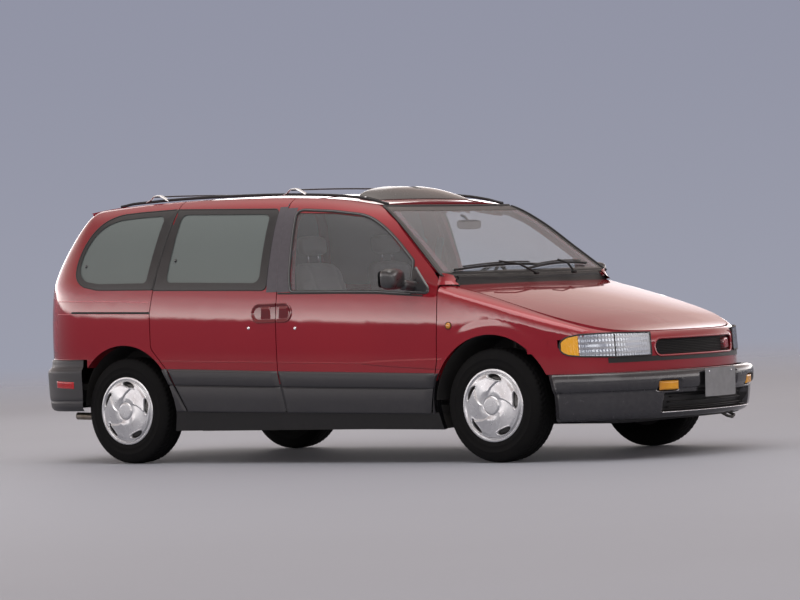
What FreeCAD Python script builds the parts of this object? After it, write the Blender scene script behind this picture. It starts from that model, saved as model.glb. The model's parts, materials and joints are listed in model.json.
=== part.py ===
import FreeCAD, Part
import math
import os

V = FreeCAD.Vector
os.makedirs("parts", exist_ok=True)

# Axles and wheels.
FRONT_AXLE_X = 1408.0
WHEELBASE = 2850.0
REAR_AXLE_X = FRONT_AXLE_X - WHEELBASE
TRACK = 1613.0
TYRE_R = 336.0
TYRE_WIDTH = 205.0
RIM_R = 190.5
RIM_FLANGE_R = 204.0
RIM_WIDTH = 178.0
COVER_SPOKES = 5
KINGPIN_Y = 650.0
STRUT_TUBE_R = 24.0
STRUT_ROD_R = 11.0
RUNNING_FIT = 0.1
HUB_R = 32.0
HUB_FLANGE_R = 68.0
HUB_Z = TYRE_R
WHEEL_Y = TRACK / 2
ARCH_R = 415.0
HOUSE_R = 419.0
HOUSE_WALL = 4.0

# Body lines.
NOSE_X = 2283.0
NOSE_START_X = 1408.0
TAIL_START_X = -1792.0
WIDEST_X = 58.0
BARREL = 0.010
BARREL_LENGTH = 1600.0
RAKE_END_Z = 1050.0
ROOF_EDGE_DROP = 22.0
ROOF_EDGE_Y = 655.0
SKIN = 42.0
RING_GAP = 5.0
WALL = 78.0
ROOF_T = 46.0
SEAM = 6.0
FENDER_T = 12.0
FENDER_EDGE_T = 5.0
HOOD_T = 20.0
GLASS_T = 5.0
SAIL_T = 6.0
GLASS_INSET = 4.0
SHELL_BOTTOM = 200.0
SHELL_TOP = 1640.0
ROOF_FRONT_X = 436.0
ROOF_REAR_X = -1905.0
RAIL_REAR_X = -1700.0
RAIL_FRONT_X = 480.0
RAIL_H = 18.0
RAIL_W = 20.0
RACK_Y = 600.0
RACK_BARS = (-1374, -254)
FOOT_W = 32.0
FLOOR_T = 40.0

# Half width of the body at each level.
HALF_WIDTH = [(200, 895), (400, 922), (600, 933), (800, 932), (950, 924), (1050, 912), (1150, 893),
              (1300, 853),
              (1450, 803), (1550, 757), (1600, 722), (1625, 690), (1640, 655)]
# Tail of the body at each level.
TAIL = [(200, -2312), (600, -2322), (1000, -2307), (1150, -2272), (1300, -2212), (1450, -2122), (1550, -2040),
        (1600, -1985), (1625, -1945), (1640, -1885)]
# Fall of the level lines towards the nose.
RAKE = [(200, 0.012), (300, 0.017), (580, 0.030), (850, 0.037), (1050, 0.0415)]
# Crown of the roof along the centre line.
ROOF_LINE = [(-2192, 1560), (-1892, 1630), (-1392, 1662), (-792, 1666), (-192, 1648), (208, 1615),
             (428, 1575),
             (908, 1500)]
# Top edge of the fender and of the nose.
CREST = [(1000, 1073), (1086, 1048), (1300, 990), (1600, 903), (1900, 810), (2050, 760), (2120, 742),
         (2200, 735),
         (2300, 733)]
# Rise of the hood above its edges along the centre line.
HOOD_CROWN = [(1000, 16), (1150, 21), (1500, 30), (1900, 30), (2100, 20), (2230, 4), (2300, 0)]
# Inset of the hood edge from the side of the body.
SHOULDER = [(1000, 100), (1300, 88), (1700, 68), (2000, 50), (2300, 48)]
SHOULDER_RISE = 62.0
# Windshield along its centre line and along its side edge.
SHIELD_CENTRE = [(1030, 1215), (1105, 1110), (1262, 905), (1405, 695), (1500, 545), (1562, 430), (1600, 350)]
SHIELD_SIDE = [(1030, 1150), (1109, 1048), (1250, 880), (1441, 650), (1526, 517), (1560, 436), (1600, 330)]
SHIELD_HALF = [(1030, 905), (1109, 884), (1250, 826), (1441, 747), (1526, 690), (1560, 652), (1600, 640)]


def interpolate(table, value):
    """Smooth curve through a table of pairs, with averaged slopes."""
    last = len(table) - 1
    k = 0
    while k < last - 1 and value > table[k + 1][0]:
        k += 1
    x0, y0 = table[k]
    x1, y1 = table[k + 1]
    slope = (y1 - y0) / (x1 - x0)
    before = slope
    after = slope
    if k > 0:
        before = (slope + (y0 - table[k - 1][1]) / (x0 - table[k - 1][0])) / 2
    if k + 2 <= last:
        after = (slope + (table[k + 2][1] - y1) / (table[k + 2][0] - x1)) / 2
    h = x1 - x0
    t = (value - x0) / h
    if t < 0:
        return y0 + before * (value - x0)
    if t > 1:
        return y1 + after * (value - x1)
    a = y0 * (2 * t ** 3 - 3 * t ** 2 + 1) + y1 * (3 * t ** 2 - 2 * t ** 3)
    return a + h * (before * (t ** 3 - 2 * t ** 2 + t) + after * (t ** 3 - t ** 2))


def roof_z(x):
    return interpolate(ROOF_LINE, x)


def level_z(x, y, level):
    """Height of a level line: raked below the belt, squeezed to the roof above it."""
    if level <= RAKE_END_Z:
        return level + interpolate(RAKE, level) * (WIDEST_X - x)
    base = RAKE_END_Z + interpolate(RAKE, RAKE_END_Z) * (WIDEST_X - x)
    top = roof_z(x) - ROOF_EDGE_DROP * min(1.0, abs(y) / ROOF_EDGE_Y) ** 2
    share = (level - RAKE_END_Z) / (SHELL_TOP - RAKE_END_Z)
    return base + (top - base) * share


def end_curve(q, power, root):
    """Rounded end: reach along X and share of the half width, q from the side 0 to the centre 1."""
    if q > 1:
        t, f = end_curve(2 - q, power, root)
        return t, -f
    split = 0.8
    reach = (1 - split ** (1 / root)) ** (1 / power)
    if q < 0.5:
        t = reach * q / 0.5
        return t, (1 - t ** power) ** root
    f = split * (1 - q) / 0.5
    return (1 - abs(f) ** (1 / root)) ** (1 / power), f


def wrap(q, level, nose=NOSE_X, nose_start=NOSE_START_X, half=None, tail=None):
    """Point on the body side: q -1 at the tail centre, 0 to 1 along the side, 2 at the nose centre."""
    width = interpolate(HALF_WIDTH, level) if half is None else half
    back = interpolate(TAIL, level) if tail is None else tail
    f = 1.0
    if q < 0:
        t, f = end_curve(-q, 2.2, 0.25)
        x = TAIL_START_X + t * (back - TAIL_START_X)
    elif q > 1:
        t, f = end_curve(q - 1, 3.15, 0.447)
        x = nose_start + t * (nose - nose_start)
    else:
        x = TAIL_START_X + q * (nose_start - TAIL_START_X)
    bulge = 1 - BARREL * ((x - WIDEST_X) / BARREL_LENGTH) ** 2
    return x, -width * bulge * f


def side_point(q, level):
    x, y = wrap(q, level)
    return V(x, y, level_z(x, y, level))


def front_point(q, row):
    """Fender and nose: row 0 to 1 up the side, 1 to 2 round the shoulder to the hood edge."""
    x0, y0 = wrap(q, 850)
    e = 1e-3
    xa, ya = wrap(q - e, 850)
    xb, yb = wrap(q + e, 850)
    size = math.hypot(xb - xa, yb - ya)
    nx, ny = (yb - ya) / size, -(xb - xa) / size
    top = interpolate(CREST, x0) - SHOULDER_RISE
    low = SHELL_BOTTOM
    if row <= 1:
        z = low + (top - low) * row
        inset = 0.0
    else:
        angle = (row - 1) * math.pi / 2
        z = top + SHOULDER_RISE * math.sin(angle)
        inset = interpolate(SHOULDER, x0) * (1 - math.cos(angle))
    level = min(z - interpolate(RAKE, min(z, RAKE_END_Z)) * (WIDEST_X - x0), RAKE_END_Z)
    x, y = wrap(q, level)
    return V(x - nx * inset, y - ny * inset, z)


def hood_point(x, y):
    half = max(200.0, hood_half(x))
    return V(x, y, interpolate(CREST, x) + interpolate(HOOD_CROWN, x) * (1 - (y / half) ** 2))


def hood_half(x):
    """Half width of the hood opening at x."""
    if x <= NOSE_START_X:
        f = 1.0
    else:
        t = min(0.995, (x - NOSE_START_X) / (NOSE_X - NOSE_START_X))
        f = (1 - t ** 3.15) ** 0.447
    return 925.0 * f - interpolate(SHOULDER, x)


def roof_point(x, y):
    return V(x, y, roof_z(x) - ROOF_EDGE_DROP * (y / ROOF_EDGE_Y) ** 2)


def shield_point(level, s):
    """Windshield: level is the height, s runs -1 to 1 across."""
    xc = interpolate(SHIELD_CENTRE, level)
    xs = interpolate(SHIELD_SIDE, level)
    half = interpolate(SHIELD_HALF, level)
    return V(xc + (xs - xc) * abs(s) ** 2.2, half * s, level)


def normal_of(fn, u, v, du, dv, outward):
    a = fn(u + du, v) - fn(u - du, v)
    b = fn(u, v + dv) - fn(u, v - dv)
    n = a.cross(b)
    n.normalize()
    if n.dot(outward(fn(u, v))) < 0:
        n = n * -1
    return n


def from_centre(p):
    return p - V(p.x * 0.75, 0, 700)


def upward(p):
    return V(0.2, 0, 1)


def surface(rows):
    s = Part.BSplineSurface()
    s.interpolate(rows)
    return s


def slab(fn, us, vs, d0, d1, du=1e-3, dv=1.0, outward=from_centre):
    """Solid between two offsets of one surface; offsets are measured inwards."""
    sheets = []
    for d in (d0, d1):
        rows = []
        for u in us:
            row = []
            for v in vs:
                n = normal_of(fn, u, v, du, dv, outward)
                row.append(fn(u, v) - n * d)
            rows.append(row)
        sheets.append(surface(rows))
    return close_sheets(sheets[0], sheets[1])


def close_sheets(a, b):
    faces = [a.toShape(), b.toShape()]
    ba = a.bounds()
    bb = b.bounds()
    for k in (0, 1):
        faces.append(Part.makeRuledSurface(a.uIso(ba[k]).toShape(), b.uIso(bb[k]).toShape()))
        faces.append(Part.makeRuledSurface(a.vIso(ba[k + 2]).toShape(), b.vIso(bb[k + 2]).toShape()))
    shell = Part.makeShell(faces)
    shell.sewShape()
    solid = Part.makeSolid(shell)
    if solid.Volume < 0:
        solid.reverse()
    return solid


def spread(a, b, count):
    return [a + (b - a) * k / (count - 1) for k in range(count)]


def rounded_wire(points, place):
    """Closed outline of straight sides with rounded corners; each point is (a, b, radius)."""
    edges = []
    ends = []
    count = len(points)
    for k in range(count):
        a, b, r = points[k]
        here = V(a, b, 0)
        before = V(points[k - 1][0], points[k - 1][1], 0)
        after = V(points[(k + 1) % count][0], points[(k + 1) % count][1], 0)
        p = before - here
        q = after - here
        lp, lq = p.Length, q.Length
        p.normalize()
        q.normalize()
        angle = math.acos(max(-1, min(1, p.dot(q))))
        if r <= 0 or angle > math.pi - 0.02:
            ends.append((here, here, None))
            continue
        cut = min(r / math.tan(angle / 2), 0.49 * lp, 0.49 * lq)
        r = cut * math.tan(angle / 2)
        mid = p + q
        mid.normalize()
        centre = here + mid * (r / math.sin(angle / 2))
        ends.append((here + p * cut, here + q * cut, centre - mid * r))
    for k in range(count):
        start, stop, mid = ends[k]
        if mid is not None:
            edges.append(Part.Arc(place(start), place(mid), place(stop)).toShape())
        nxt = ends[(k + 1) % count][0]
        if (nxt - stop).Length > 1e-6:
            edges.append(Part.makeLine(place(stop), place(nxt)))
    return Part.Wire(edges)


def prism_y(points, y0, y1, slant=0.0):
    """Side-view outline pushed across the body; slant shifts X with Y."""
    wire = rounded_wire(points, lambda p: V(p.x + slant * y0, y0, p.y))
    return Part.Face(wire).extrude(V(slant * (y1 - y0), y1 - y0, 0))


def prism_x(points, x0, x1):
    wire = rounded_wire(points, lambda p: V(x0, p.x, p.y))
    return Part.Face(wire).extrude(V(x1 - x0, 0, 0))


def prism_z(points, z0, z1):
    wire = rounded_wire(points, lambda p: V(p.x, p.y, z0))
    return Part.Face(wire).extrude(V(0, 0, z1 - z0))


def box(x0, x1, y0, y1, z0, z1):
    return Part.makeBox(x1 - x0, y1 - y0, z1 - z0, V(x0, y0, z0))


def rod(a, b, r):
    d = V(*b) - V(*a)
    return Part.makeCylinder(r, d.Length, V(*a), d)


def mirrored(shape):
    return shape.mirror(V(0, 0, 0), V(0, 1, 0))


def fuse(shapes):
    out = shapes[0]
    if len(shapes) > 1:
        out = out.multiFuse(shapes[1:])
    return out


def cut(shape, tools):
    for tool in tools:
        shape = shape.cut(tool)
    return shape


def grown(points, d):
    """Outline moved outwards by d."""
    count = len(points)
    area = 0.0
    for k in range(count):
        a = points[k]
        b = points[(k + 1) % count]
        area += a[0] * b[1] - b[0] * a[1]
    sign = 1 if area > 0 else -1
    out = []
    for k in range(count):
        a, b, r = points[k]
        p = V(a - points[k - 1][0], b - points[k - 1][1], 0)
        q = V(points[(k + 1) % count][0] - a, points[(k + 1) % count][1] - b, 0)
        p.normalize()
        q.normalize()
        n1 = V(p.y, -p.x, 0) * sign
        n2 = V(q.y, -q.x, 0) * sign
        m = n1 + n2
        m = m * (d / max(0.2, (1 + n1.dot(n2))))
        out.append((a + m.x, b + m.y, max(0.0, r + d)))
    return out


def save(name, shape):
    solids = shape.Solids
    if len(solids) == 0:
        print("EMPTY", name)
        return
    shape = solids[0] if len(solids) == 1 else Part.makeCompound(solids)
    shape.exportStep("parts/" + name + ".step")
    print(name, len(solids), round(shape.Volume / 1e6, 3), shape.isValid())


# Side-view outlines of the panels: X, Z, corner radius.
B_SEAM = [(322, -150), (560, -178), (860, -181), (1047, -175), (1562, -195), (1700, -205)]
B_SLANT = 0.2
DOOR_OUTLINE = [(966, 300, 20), (1030, 600, 0), (1040, 862, 0), (1040, 1100, 30), (650, 1441, 200),
                (517, 1526, 60),
                (436, 1560, 20), (330, 1720, 0), (-300, 1720, 0), (-300, 322, 0)]
SLIDER_OUTLINE = [(-40, 320, 0), (-40, 1720, 0), (-1093, 1720, 0), (-1090, 1588, 0), (-1181, 1095, 0),
                  (-1208, 951, 60), (-1204, 727, 60), (-1070, 580, 60), (-936, 329, 15)]
SILL_REGION = [(1040, 100, 0), (1040, 297, 0), (966, 300, 0), (-150, 322, 0), (-936, 329, 0), (-1000, 330, 0),
               (-1000, 100, 0)]
FRONT_OPENING = [(955, 380, 60), (1012, 500, 20), (1046, 640, 20), (1046, 1075, 40), (640, 1405, 150),
                 (470, 1500, 60), (-140, 1560, 60),
                 (-140, 380, 60)]
REAR_OPENING = [(-232, 380, 60), (-232, 1565, 60), (-1040, 1580, 60), (-1140, 1090, 40), (-1160, 760, 100),
                (-900, 380, 60)]
DOOR_GLASS = [(-64, 1048, 25), (848, 1005, 8), (838, 1192, 20), (572, 1410, 150), (424, 1480, 60),
              (164, 1515, 100), (-121, 1530, 25)]
SLIDER_GLASS = [(-1170, 1094, 10), (-266, 1065, 10), (-263, 1545, 10), (-1082, 1575, 10)]
QUARTER_GLASS = [(-1194, 1097, 10), (-1657, 1109, 0), (-1783, 1136, 120), (-1853, 1230, 120),
                 (-1767, 1474, 60),
                 (-1687, 1550, 60), (-1401, 1575, 60), (-1106, 1580, 10)]
MIRROR_SAIL = [(852, 1012, 4), (960, 1006, 20), (982, 1036, 12), (852, 1176, 4)]
TAILGATE_OUTLINE = [(-745, 668, 30), (745, 668, 30), (745, 1000, 0), (715, 1180, 0), (630, 1480, 0),
                    (600, 1700, 0),
                    (-600, 1700, 0), (-630, 1480, 0), (-715, 1180, 0), (-745, 1000, 0)]
TAILGATE_GLASS = [(-660, 1120, 40), (660, 1120, 40), (560, 1520, 40), (-560, 1520, 40)]
LAMP_OUTLINE = [(-905, 672, 8), (-700, 604, 0), (-452, 600, 6), (-452, 726, 6), (-700, 732, 0),
                (-905, 700, 8)]
GRILLE_OUTLINE = [(-412, 588, 45), (412, 588, 45), (412, 690, 45), (-412, 690, 45)]
NOSE_SPLIT_X = 2010.0
BUMPER_TOP = 508.0

# Doors, hood, tailgate and their hinges.
DOOR_AXIS_X = 970.0
DOOR_AXIS_Y = 905.0
DOOR_HINGES = (620.0, 900.0)
PIN_R = 5.0
PIN_FIT = 0.3
KNUCKLE_R = 9.0
KNUCKLE_H = 36.0
PLATE_T = 8.0
HINGE_SKIN = 6.0
SLIDER_PADS = ((-212.0, 820.0), (-1180.0, 770.0), (-1084.0, 1480.0))
GATE_SKIN = 4.0
GATE_SEAM = 6.0
GATE_T = 26.0
GATE_INSET = 4.0
HOOD_REAR_X = 1149.0
HOOD_AXIS_X = 1172.0
HOOD_AXIS_Z = 1000.0
HOOD_HINGE_Y = 560.0
HOOD_SEAM = 7.0
COWL_GAP = 14.0
GATE_AXIS_X = ROOF_REAR_X - 15.0
GATE_AXIS_Z = 1595.0
GATE_HINGE_Y = 430.0
LID_PIN_R = 3.5
LID_KNUCKLE_R = 7.5
LID_KNUCKLE_W = 30.0
LID_ARM_W = 8.0

# Inside and underneath.
FLOOR_HALF = 870.0
FRONT_FLOOR_Z = 300.0
REAR_FLOOR_Z = 470.0
FLOOR_STEP_X = -1120.0
FIREWALL_X = 1010.0
PANEL_T = 30.0
COWL_BOX_Z = 935.0
COWL_BOX_HALF = 640.0
RAIL_Y = 420.0
RAIL_W = 60.0
FRONT_HOUSE_Y = 520.0
REAR_HOUSE_Y = 600.0
TOWER_Z = 870.0
SEAT_Y = 380.0
SEAT_W = 500.0
WHEEL_RIM_R = 185.0
STEER_X = 460.0
STEER_Y = 380.0
STEER_Z = 1010.0
STEER_TILT = 32.0


def levels():
    return [200, 300, 400, 520, 640, 760, 880, 960, 1050, 1120, 1200, 1290, 1380, 1460, 1530, 1575, 1605,
            1625, 1640]


def side_stations():
    return [-0.66, -0.6, -0.54, -0.48, -0.40, -0.32, -0.24, -0.16, -0.08] + spread(0, 1, 13) + [1.06, 1.12]


def side_slab(d0, d1):
    return slab(side_point, side_stations(), levels(), d0, d1)


def b_region(side, gap):
    """Everything ahead of (side 1) or behind (side -1) the middle seam, on a slant that lets the door swing."""
    points = []
    for z, x in B_SEAM:
        y = -interpolate(HALF_WIDTH, min(z, 1640))
        points.append((x - B_SLANT * y + side * gap, z, 0))
    far = side * 3000
    points = [(points[0][0], 0, 0)] + points + [(far, 1700, 0), (far, 0, 0)]
    return prism_y(points, -1100, -300, B_SLANT)


def doors(skin):
    """Front door and sliding door of the right side, with window holes and the glass that fills them."""
    door = skin.common(prism_y(grown(DOOR_OUTLINE, -SEAM / 2), -1100, -400))
    door = door.cut(b_region(-1, -SEAM / 2))
    slider = skin.common(prism_y(grown(SLIDER_OUTLINE, -SEAM / 2), -1100, -400))
    slider = slider.cut(b_region(1, -SEAM / 2))
    trim = box(-2500, 1500, -ROOF_EDGE_Y - SEAM / 2, 0, 1300, 1800)
    shield_zone = slab(shield_point, spread(1060, 1592, 14), spread(-1.006, 1.006, 17), -12, 70, 1.0, 1e-3,
                       upward)
    door = door.cut(trim).cut(shield_zone)
    slider = slider.cut(trim)
    pane = side_slab(GLASS_INSET, GLASS_INSET + GLASS_T)
    door_hole = prism_y(DOOR_GLASS, -1100, -400)
    slider_hole = prism_y(SLIDER_GLASS, -1100, -400)
    quarter_hole = prism_y(QUARTER_GLASS, -1100, -400)
    glass = [pane.common(h) for h in (door_hole, slider_hole, quarter_hole)]
    door = door.cut(door_hole)
    slider = slider.cut(slider_hole)
    seals = side_slab(SKIN, SKIN + RING_GAP)
    for x, z in SLIDER_PADS:
        slider = slider.fuse(seals.common(box(x - 9, x + 9, -1100, -700, z - 25, z + 25)))
    return door, slider, glass, quarter_hole


def door_hinges(door):
    """Pins on two goosenecks, and knuckles in pockets of the door."""
    deep = side_slab(HINGE_SKIN, SKIN + 20)
    relief = side_slab(14, SKIN + 20).common(box(985, 1060, -1100, -700, 200, 640))
    upper_relief = side_slab(17, SKIN + 20).common(box(900, 1060, -1100, -700, 1080, 1260))
    door = door.cut(relief).cut(upper_relief)
    fixed = []
    ax, ay = DOOR_AXIS_X, -DOOR_AXIS_Y
    for z in DOOR_HINGES:
        room = KNUCKLE_H / 2 + PLATE_T + 6
        door = door.cut(deep.common(box(ax - 22, 1060, -1000, -800, z - room, z + room)))
        knuckle = rod((ax, ay, z - KNUCKLE_H / 2), (ax, ay, z + KNUCKLE_H / 2), KNUCKLE_R)
        web = box(ax - 30, ax, ay - 6, ay + 6, z - KNUCKLE_H / 2, z + KNUCKLE_H / 2)
        bore = rod((ax, ay, z - 40), (ax, ay, z + 40), PIN_R + PIN_FIT)
        door = door.fuse(knuckle.fuse(web)).cut(bore)
        reach = KNUCKLE_H / 2 + 1
        for low in (z - reach - PLATE_T, z + reach):
            outline = [(ax - 9, ay, 0), (ax - 5, ay - 6, 0), (ax + 5, ay - 6, 0), (ax + 9, ay, 0),
                       (ax + 9, ay + 82, 0), (1052, ay + 82, 0),
                       (1052, ay + 45, 0), (1070, ay + 45, 0), (1070, ay + 112, 0), (ax - 9, ay + 112, 0)]
            fixed.append(prism_z(outline, low, low + PLATE_T))
        fixed.append(rod((ax, ay, z - reach - PLATE_T), (ax, ay, z + reach + PLATE_T), PIN_R))
    return door, fixed


def arch(x, r, y0, y1):
    return rod((x, y0, HUB_Z), (x, y1, HUB_Z), r)


def pillar():
    """Windshield pillar under the edge of the glass."""
    band = slab(shield_point, spread(1085, 1592, 13), spread(-1, 1, 17), GLASS_T + 1, WALL * 0.6, 1.0, 1e-3,
                upward)
    outline = [(-900, 1062, 0), (-786, 1062, 0), (-745, 1180, 0), (-655, 1420, 0), (-590, 1500, 0),
               (-590, 1600, 0), (-900, 1600, 0), (-900, 1175, 0), (-856, 1165, 0), (-856, 1112, 0),
               (-900, 1102, 0)]
    return band.common(prism_x(outline, 200, 1300))


def roof_slab(d0, d1, x0=ROOF_REAR_X, x1=ROOF_FRONT_X):
    return slab(roof_point, spread(x0, x1, 15), spread(-700, 700, 11), d0, d1, 1.0, 1.0, upward)


def roof_zone():
    half = ROOF_EDGE_Y - SEAM / 2
    return roof_slab(-5, ROOF_T).common(box(ROOF_REAR_X, 1500, -half, half, 1000, 1800))


def side_body(wall, left):
    """One side of the body behind its doors."""
    openings = [prism_y(FRONT_OPENING, -1100, -400)]
    if left:
        zone = b_region(1, -SEAM / 2).fuse(prism_y(SILL_REGION, -1100, -400))
    else:
        rear = [p for p in grown(SLIDER_OUTLINE, SEAM / 2) if p[0] < -900]
        zone = prism_y([(2600, 0, 0), (2600, 1800, 0), (rear[0][0], 1800, 0)] + rear[1:] + [(-1000, 326, 0),
                                                                                            (-1000, 0, 0)],
                       -1100, -400)
        openings.append(prism_y(REAR_OPENING, -1100, -400))
    block = box(-2500, 1500, -ROOF_EDGE_Y - SEAM / 2, 0, 1300, 1800)
    inner = side_slab(SKIN + RING_GAP, WALL)
    body = wall.cut(zone).cut(block).fuse(inner.common(zone)).fuse(inner.cut(zone).common(block))
    upper = [(1112, 0, 0), (1112, 1018, 0), (1043, 1024, 0), (1043, 1078, 0), (630, 1425, 0),
             (500, 1515, 0), (ROOF_FRONT_X, 1550, 0),
             (ROOF_FRONT_X, 1800, 0), (2600, 1800, 0), (2600, 0, 0)]
    gate = prism_x(grown(TAILGATE_OUTLINE, SEAM / 2), -2700, -1750)
    bumper_zone = box(-2700, -1750, -1000, 0, 0, 668)
    body = cut(body, openings + [prism_y(upper, -1100, -400), gate, bumper_zone,
                                 arch(REAR_AXLE_X, ARCH_R, -1100, -700),
                                 arch(FRONT_AXLE_X, HOUSE_R + HOUSE_WALL, -1100, -500)])
    rail = roof_slab(ROOF_T, WALL).common(box(-2500, 1500, -ROOF_EDGE_Y + 3, -560, 1000, 1800))
    post = pillar().cut(roof_slab(-5, ROOF_T)).cut(front_slab(0.80, 1.56, 17, -60, FENDER_T + 1))
    out = rail
    for piece in [s for s in body.Solids + post.Solids if s.Volume > 2e5]:
        out = out.fuse(piece)
    return out.cut(roof_zone())


def front_slab(q0, q1, count, d0, d1, rows=None):
    rows = rows or [0.05, 0.2, 0.35, 0.5, 0.65, 0.8, 0.92, 1.0, 1.1, 1.25, 1.4, 1.6, 1.8, 2.0]
    return slab(front_point, spread(q0, q1, count), rows, d0, d1, 1e-3, 1e-3)


def fender():
    panel = front_slab(0.80, 1.56, 17, 0, FENDER_T)
    edge = [(x + SEAM / 2, z, 0) for x, z, r in DOOR_OUTLINE[:4]]
    edge = [(edge[0][0] + 14, edge[0][1], 0), (edge[0][0] + 25, 420, 0)] + edge[1:]
    edge[-1] = (edge[-1][0], 1300, 0)
    door = prism_y([(-500, 1300, 0), (-500, 100, 0), (edge[0][0], 100, 0)] + edge, -1100, -400)
    below = box(900, 1150, -1100, -400, 0, 297)
    ahead = box(NOSE_SPLIT_X, 2600, -1100, 0, 0, 1700)
    bumper = box(FRONT_AXLE_X, 2600, -1100, 0, 0, BUMPER_TOP)
    lamp = prism_x(LAMP_OUTLINE, 1800, 2500)
    thin = front_slab(0.80, 1.1, 9, FENDER_EDGE_T, FENDER_T + 3).common(box(950, 1010, -1100, -700, 200, 480))
    return cut(panel, [door, below, ahead, bumper, lamp, arch(FRONT_AXLE_X, ARCH_R, -1100, -500), thin])


def nose():
    panel = front_slab(1.35, 2.65, 33, 0, FENDER_T * 2)
    lamps = prism_x(LAMP_OUTLINE, 1800, 2500)
    grille = prism_x(GRILLE_OUTLINE, 1800, 2500)
    behind = box(0, NOSE_SPLIT_X, -1100, 1100, 0, 1700)
    bumper = box(0, 2600, -1100, 1100, 0, BUMPER_TOP)
    return cut(panel, [lamps, mirrored(lamps), grille, behind, bumper])


def lamps():
    block = front_slab(1.2, 1.9, 17, 2, 60)
    clear = block.common(prism_x(LAMP_OUTLINE, 1800, 2500))
    return [clear, mirrored(clear)]


def grille():
    body = front_slab(1.35, 2.65, 33, 8, 40)
    frame = body.common(prism_x(grown(GRILLE_OUTLINE, 0), 1800, 2500))
    slots = []
    count = 7
    pitch = 86.0 / count
    for k in range(count):
        z = 596 + pitch * k
        slots.append(box(1800, 2500, -395, -6, z + 3, z + pitch - 3))
        slots.append(box(1800, 2500, 6, 395, z + 3, z + pitch - 3))
    shallow = front_slab(1.35, 2.65, 33, 0, 28)
    return frame.cut(shallow.common(Part.makeCompound(slots)))


def hood_outline():
    """Plan view of the line where the fenders and the nose end."""
    side = []
    q = 0.9
    while q < 1.99:
        p = front_point(q, 2.0)
        if p.x > HOOD_REAR_X - 60:
            side.append((p.x, p.y, 0))
        q += 0.06
    tip = front_point(2.0, 2.0)
    corner = [(HOOD_REAR_X - 60, side[0][1] + 1, 0)]
    other = [(x, -y, 0) for x, y, r in reversed(corner + side)]
    rear = [(HOOD_REAR_X - 12, 400, 0), (HOOD_REAR_X, 0, 0), (HOOD_REAR_X - 12, -400, 0)]
    return corner + side + [(tip.x, 0, 0)] + other + rear


def hood():
    """Lid of the engine bay: its edge runs beside the fenders and the nose."""
    top = slab(hood_point, spread(1080, 2245, 16), spread(-860, 860, 15), 0, HOOD_T, 1.0, 1.0, upward)
    body = top.common(prism_z(grown(hood_outline(), -HOOD_SEAM), 500, 1300))
    knuckles = []
    bores = []
    for y in (-HOOD_HINGE_Y, HOOD_HINGE_Y):
        a = (HOOD_AXIS_X, y - LID_KNUCKLE_W / 2, HOOD_AXIS_Z)
        b = (HOOD_AXIS_X, y + LID_KNUCKLE_W / 2, HOOD_AXIS_Z)
        post = box(HOOD_AXIS_X - 2, HOOD_AXIS_X + LID_KNUCKLE_R, a[1], b[1], HOOD_AXIS_Z, HOOD_AXIS_Z + 28)
        knuckles += [rod(a, b, LID_KNUCKLE_R), post]
        bores.append(rod((a[0], a[1] - 9, a[2]), (b[0], b[1] + 9, b[2]), LID_PIN_R + PIN_FIT))
    above = slab(hood_point, spread(1090, 1300, 5), spread(-860, 860, 15), -60, 0, 1.0, 1.0, upward)
    return cut(fuse([body] + knuckles), bores + [above])


def lid_pins(x, y_list, z, low):
    """Pins on upright arms for the hood and the tailgate."""
    out = []
    for y in y_list:
        half = LID_KNUCKLE_W / 2 + 1
        out.append(rod((x, y - half - LID_ARM_W, z), (x, y + half + LID_ARM_W, z), LID_PIN_R))
        for y0 in (y - half - LID_ARM_W, y + half):
            out.append(box(x - 4, x + 4, y0, y0 + LID_ARM_W, low, z + 3))
    return out


def tail_slab(d0, d1):
    vs = [560, 640, 720, 800, 880, 960, 1050, 1120, 1200, 1290, 1380, 1460, 1530, 1575, 1600, 1615, 1628,
          1640]
    return slab(side_point, spread(-1.56, -0.44, 29), vs, d0, d1)


def tailgate():
    gate = tail_slab(0, GATE_T).common(prism_x(grown(TAILGATE_OUTLINE, -GATE_INSET), -2700, -1750))
    gate = gate.cut(box(ROOF_REAR_X - SEAM / 2 - GATE_SEAM, -1500, -1000, 1000, 1300, 1800))
    hole = prism_x(TAILGATE_GLASS, -2700, -1750)
    glass = tail_slab(GLASS_INSET, GLASS_INSET + GLASS_T).common(hole)
    gate = gate.cut(hole)
    deep = tail_slab(GATE_SKIN, SKIN + 20)
    bores = []
    knuckles = []
    for y in (-GATE_HINGE_Y, GATE_HINGE_Y):
        half = LID_KNUCKLE_W / 2
        gate = gate.cut(deep.common(box(-1965, -1880, y - half - 16, y + half + 16, 1540, 1640)))
        a = (GATE_AXIS_X, y - half, GATE_AXIS_Z)
        b = (GATE_AXIS_X, y + half, GATE_AXIS_Z)
        knuckles += [rod(a, b, LID_KNUCKLE_R), box(-1967, GATE_AXIS_X, y - half, y + half, GATE_AXIS_Z - 4,
                                                   GATE_AXIS_Z + 4)]
        bores.append(rod((a[0], a[1] - 9, a[2]), (b[0], b[1] + 9, b[2]), LID_PIN_R + PIN_FIT))
    above = tail_slab(-60, 0)
    gate = cut(fuse([gate] + knuckles), bores + [above])
    return gate, glass


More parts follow.
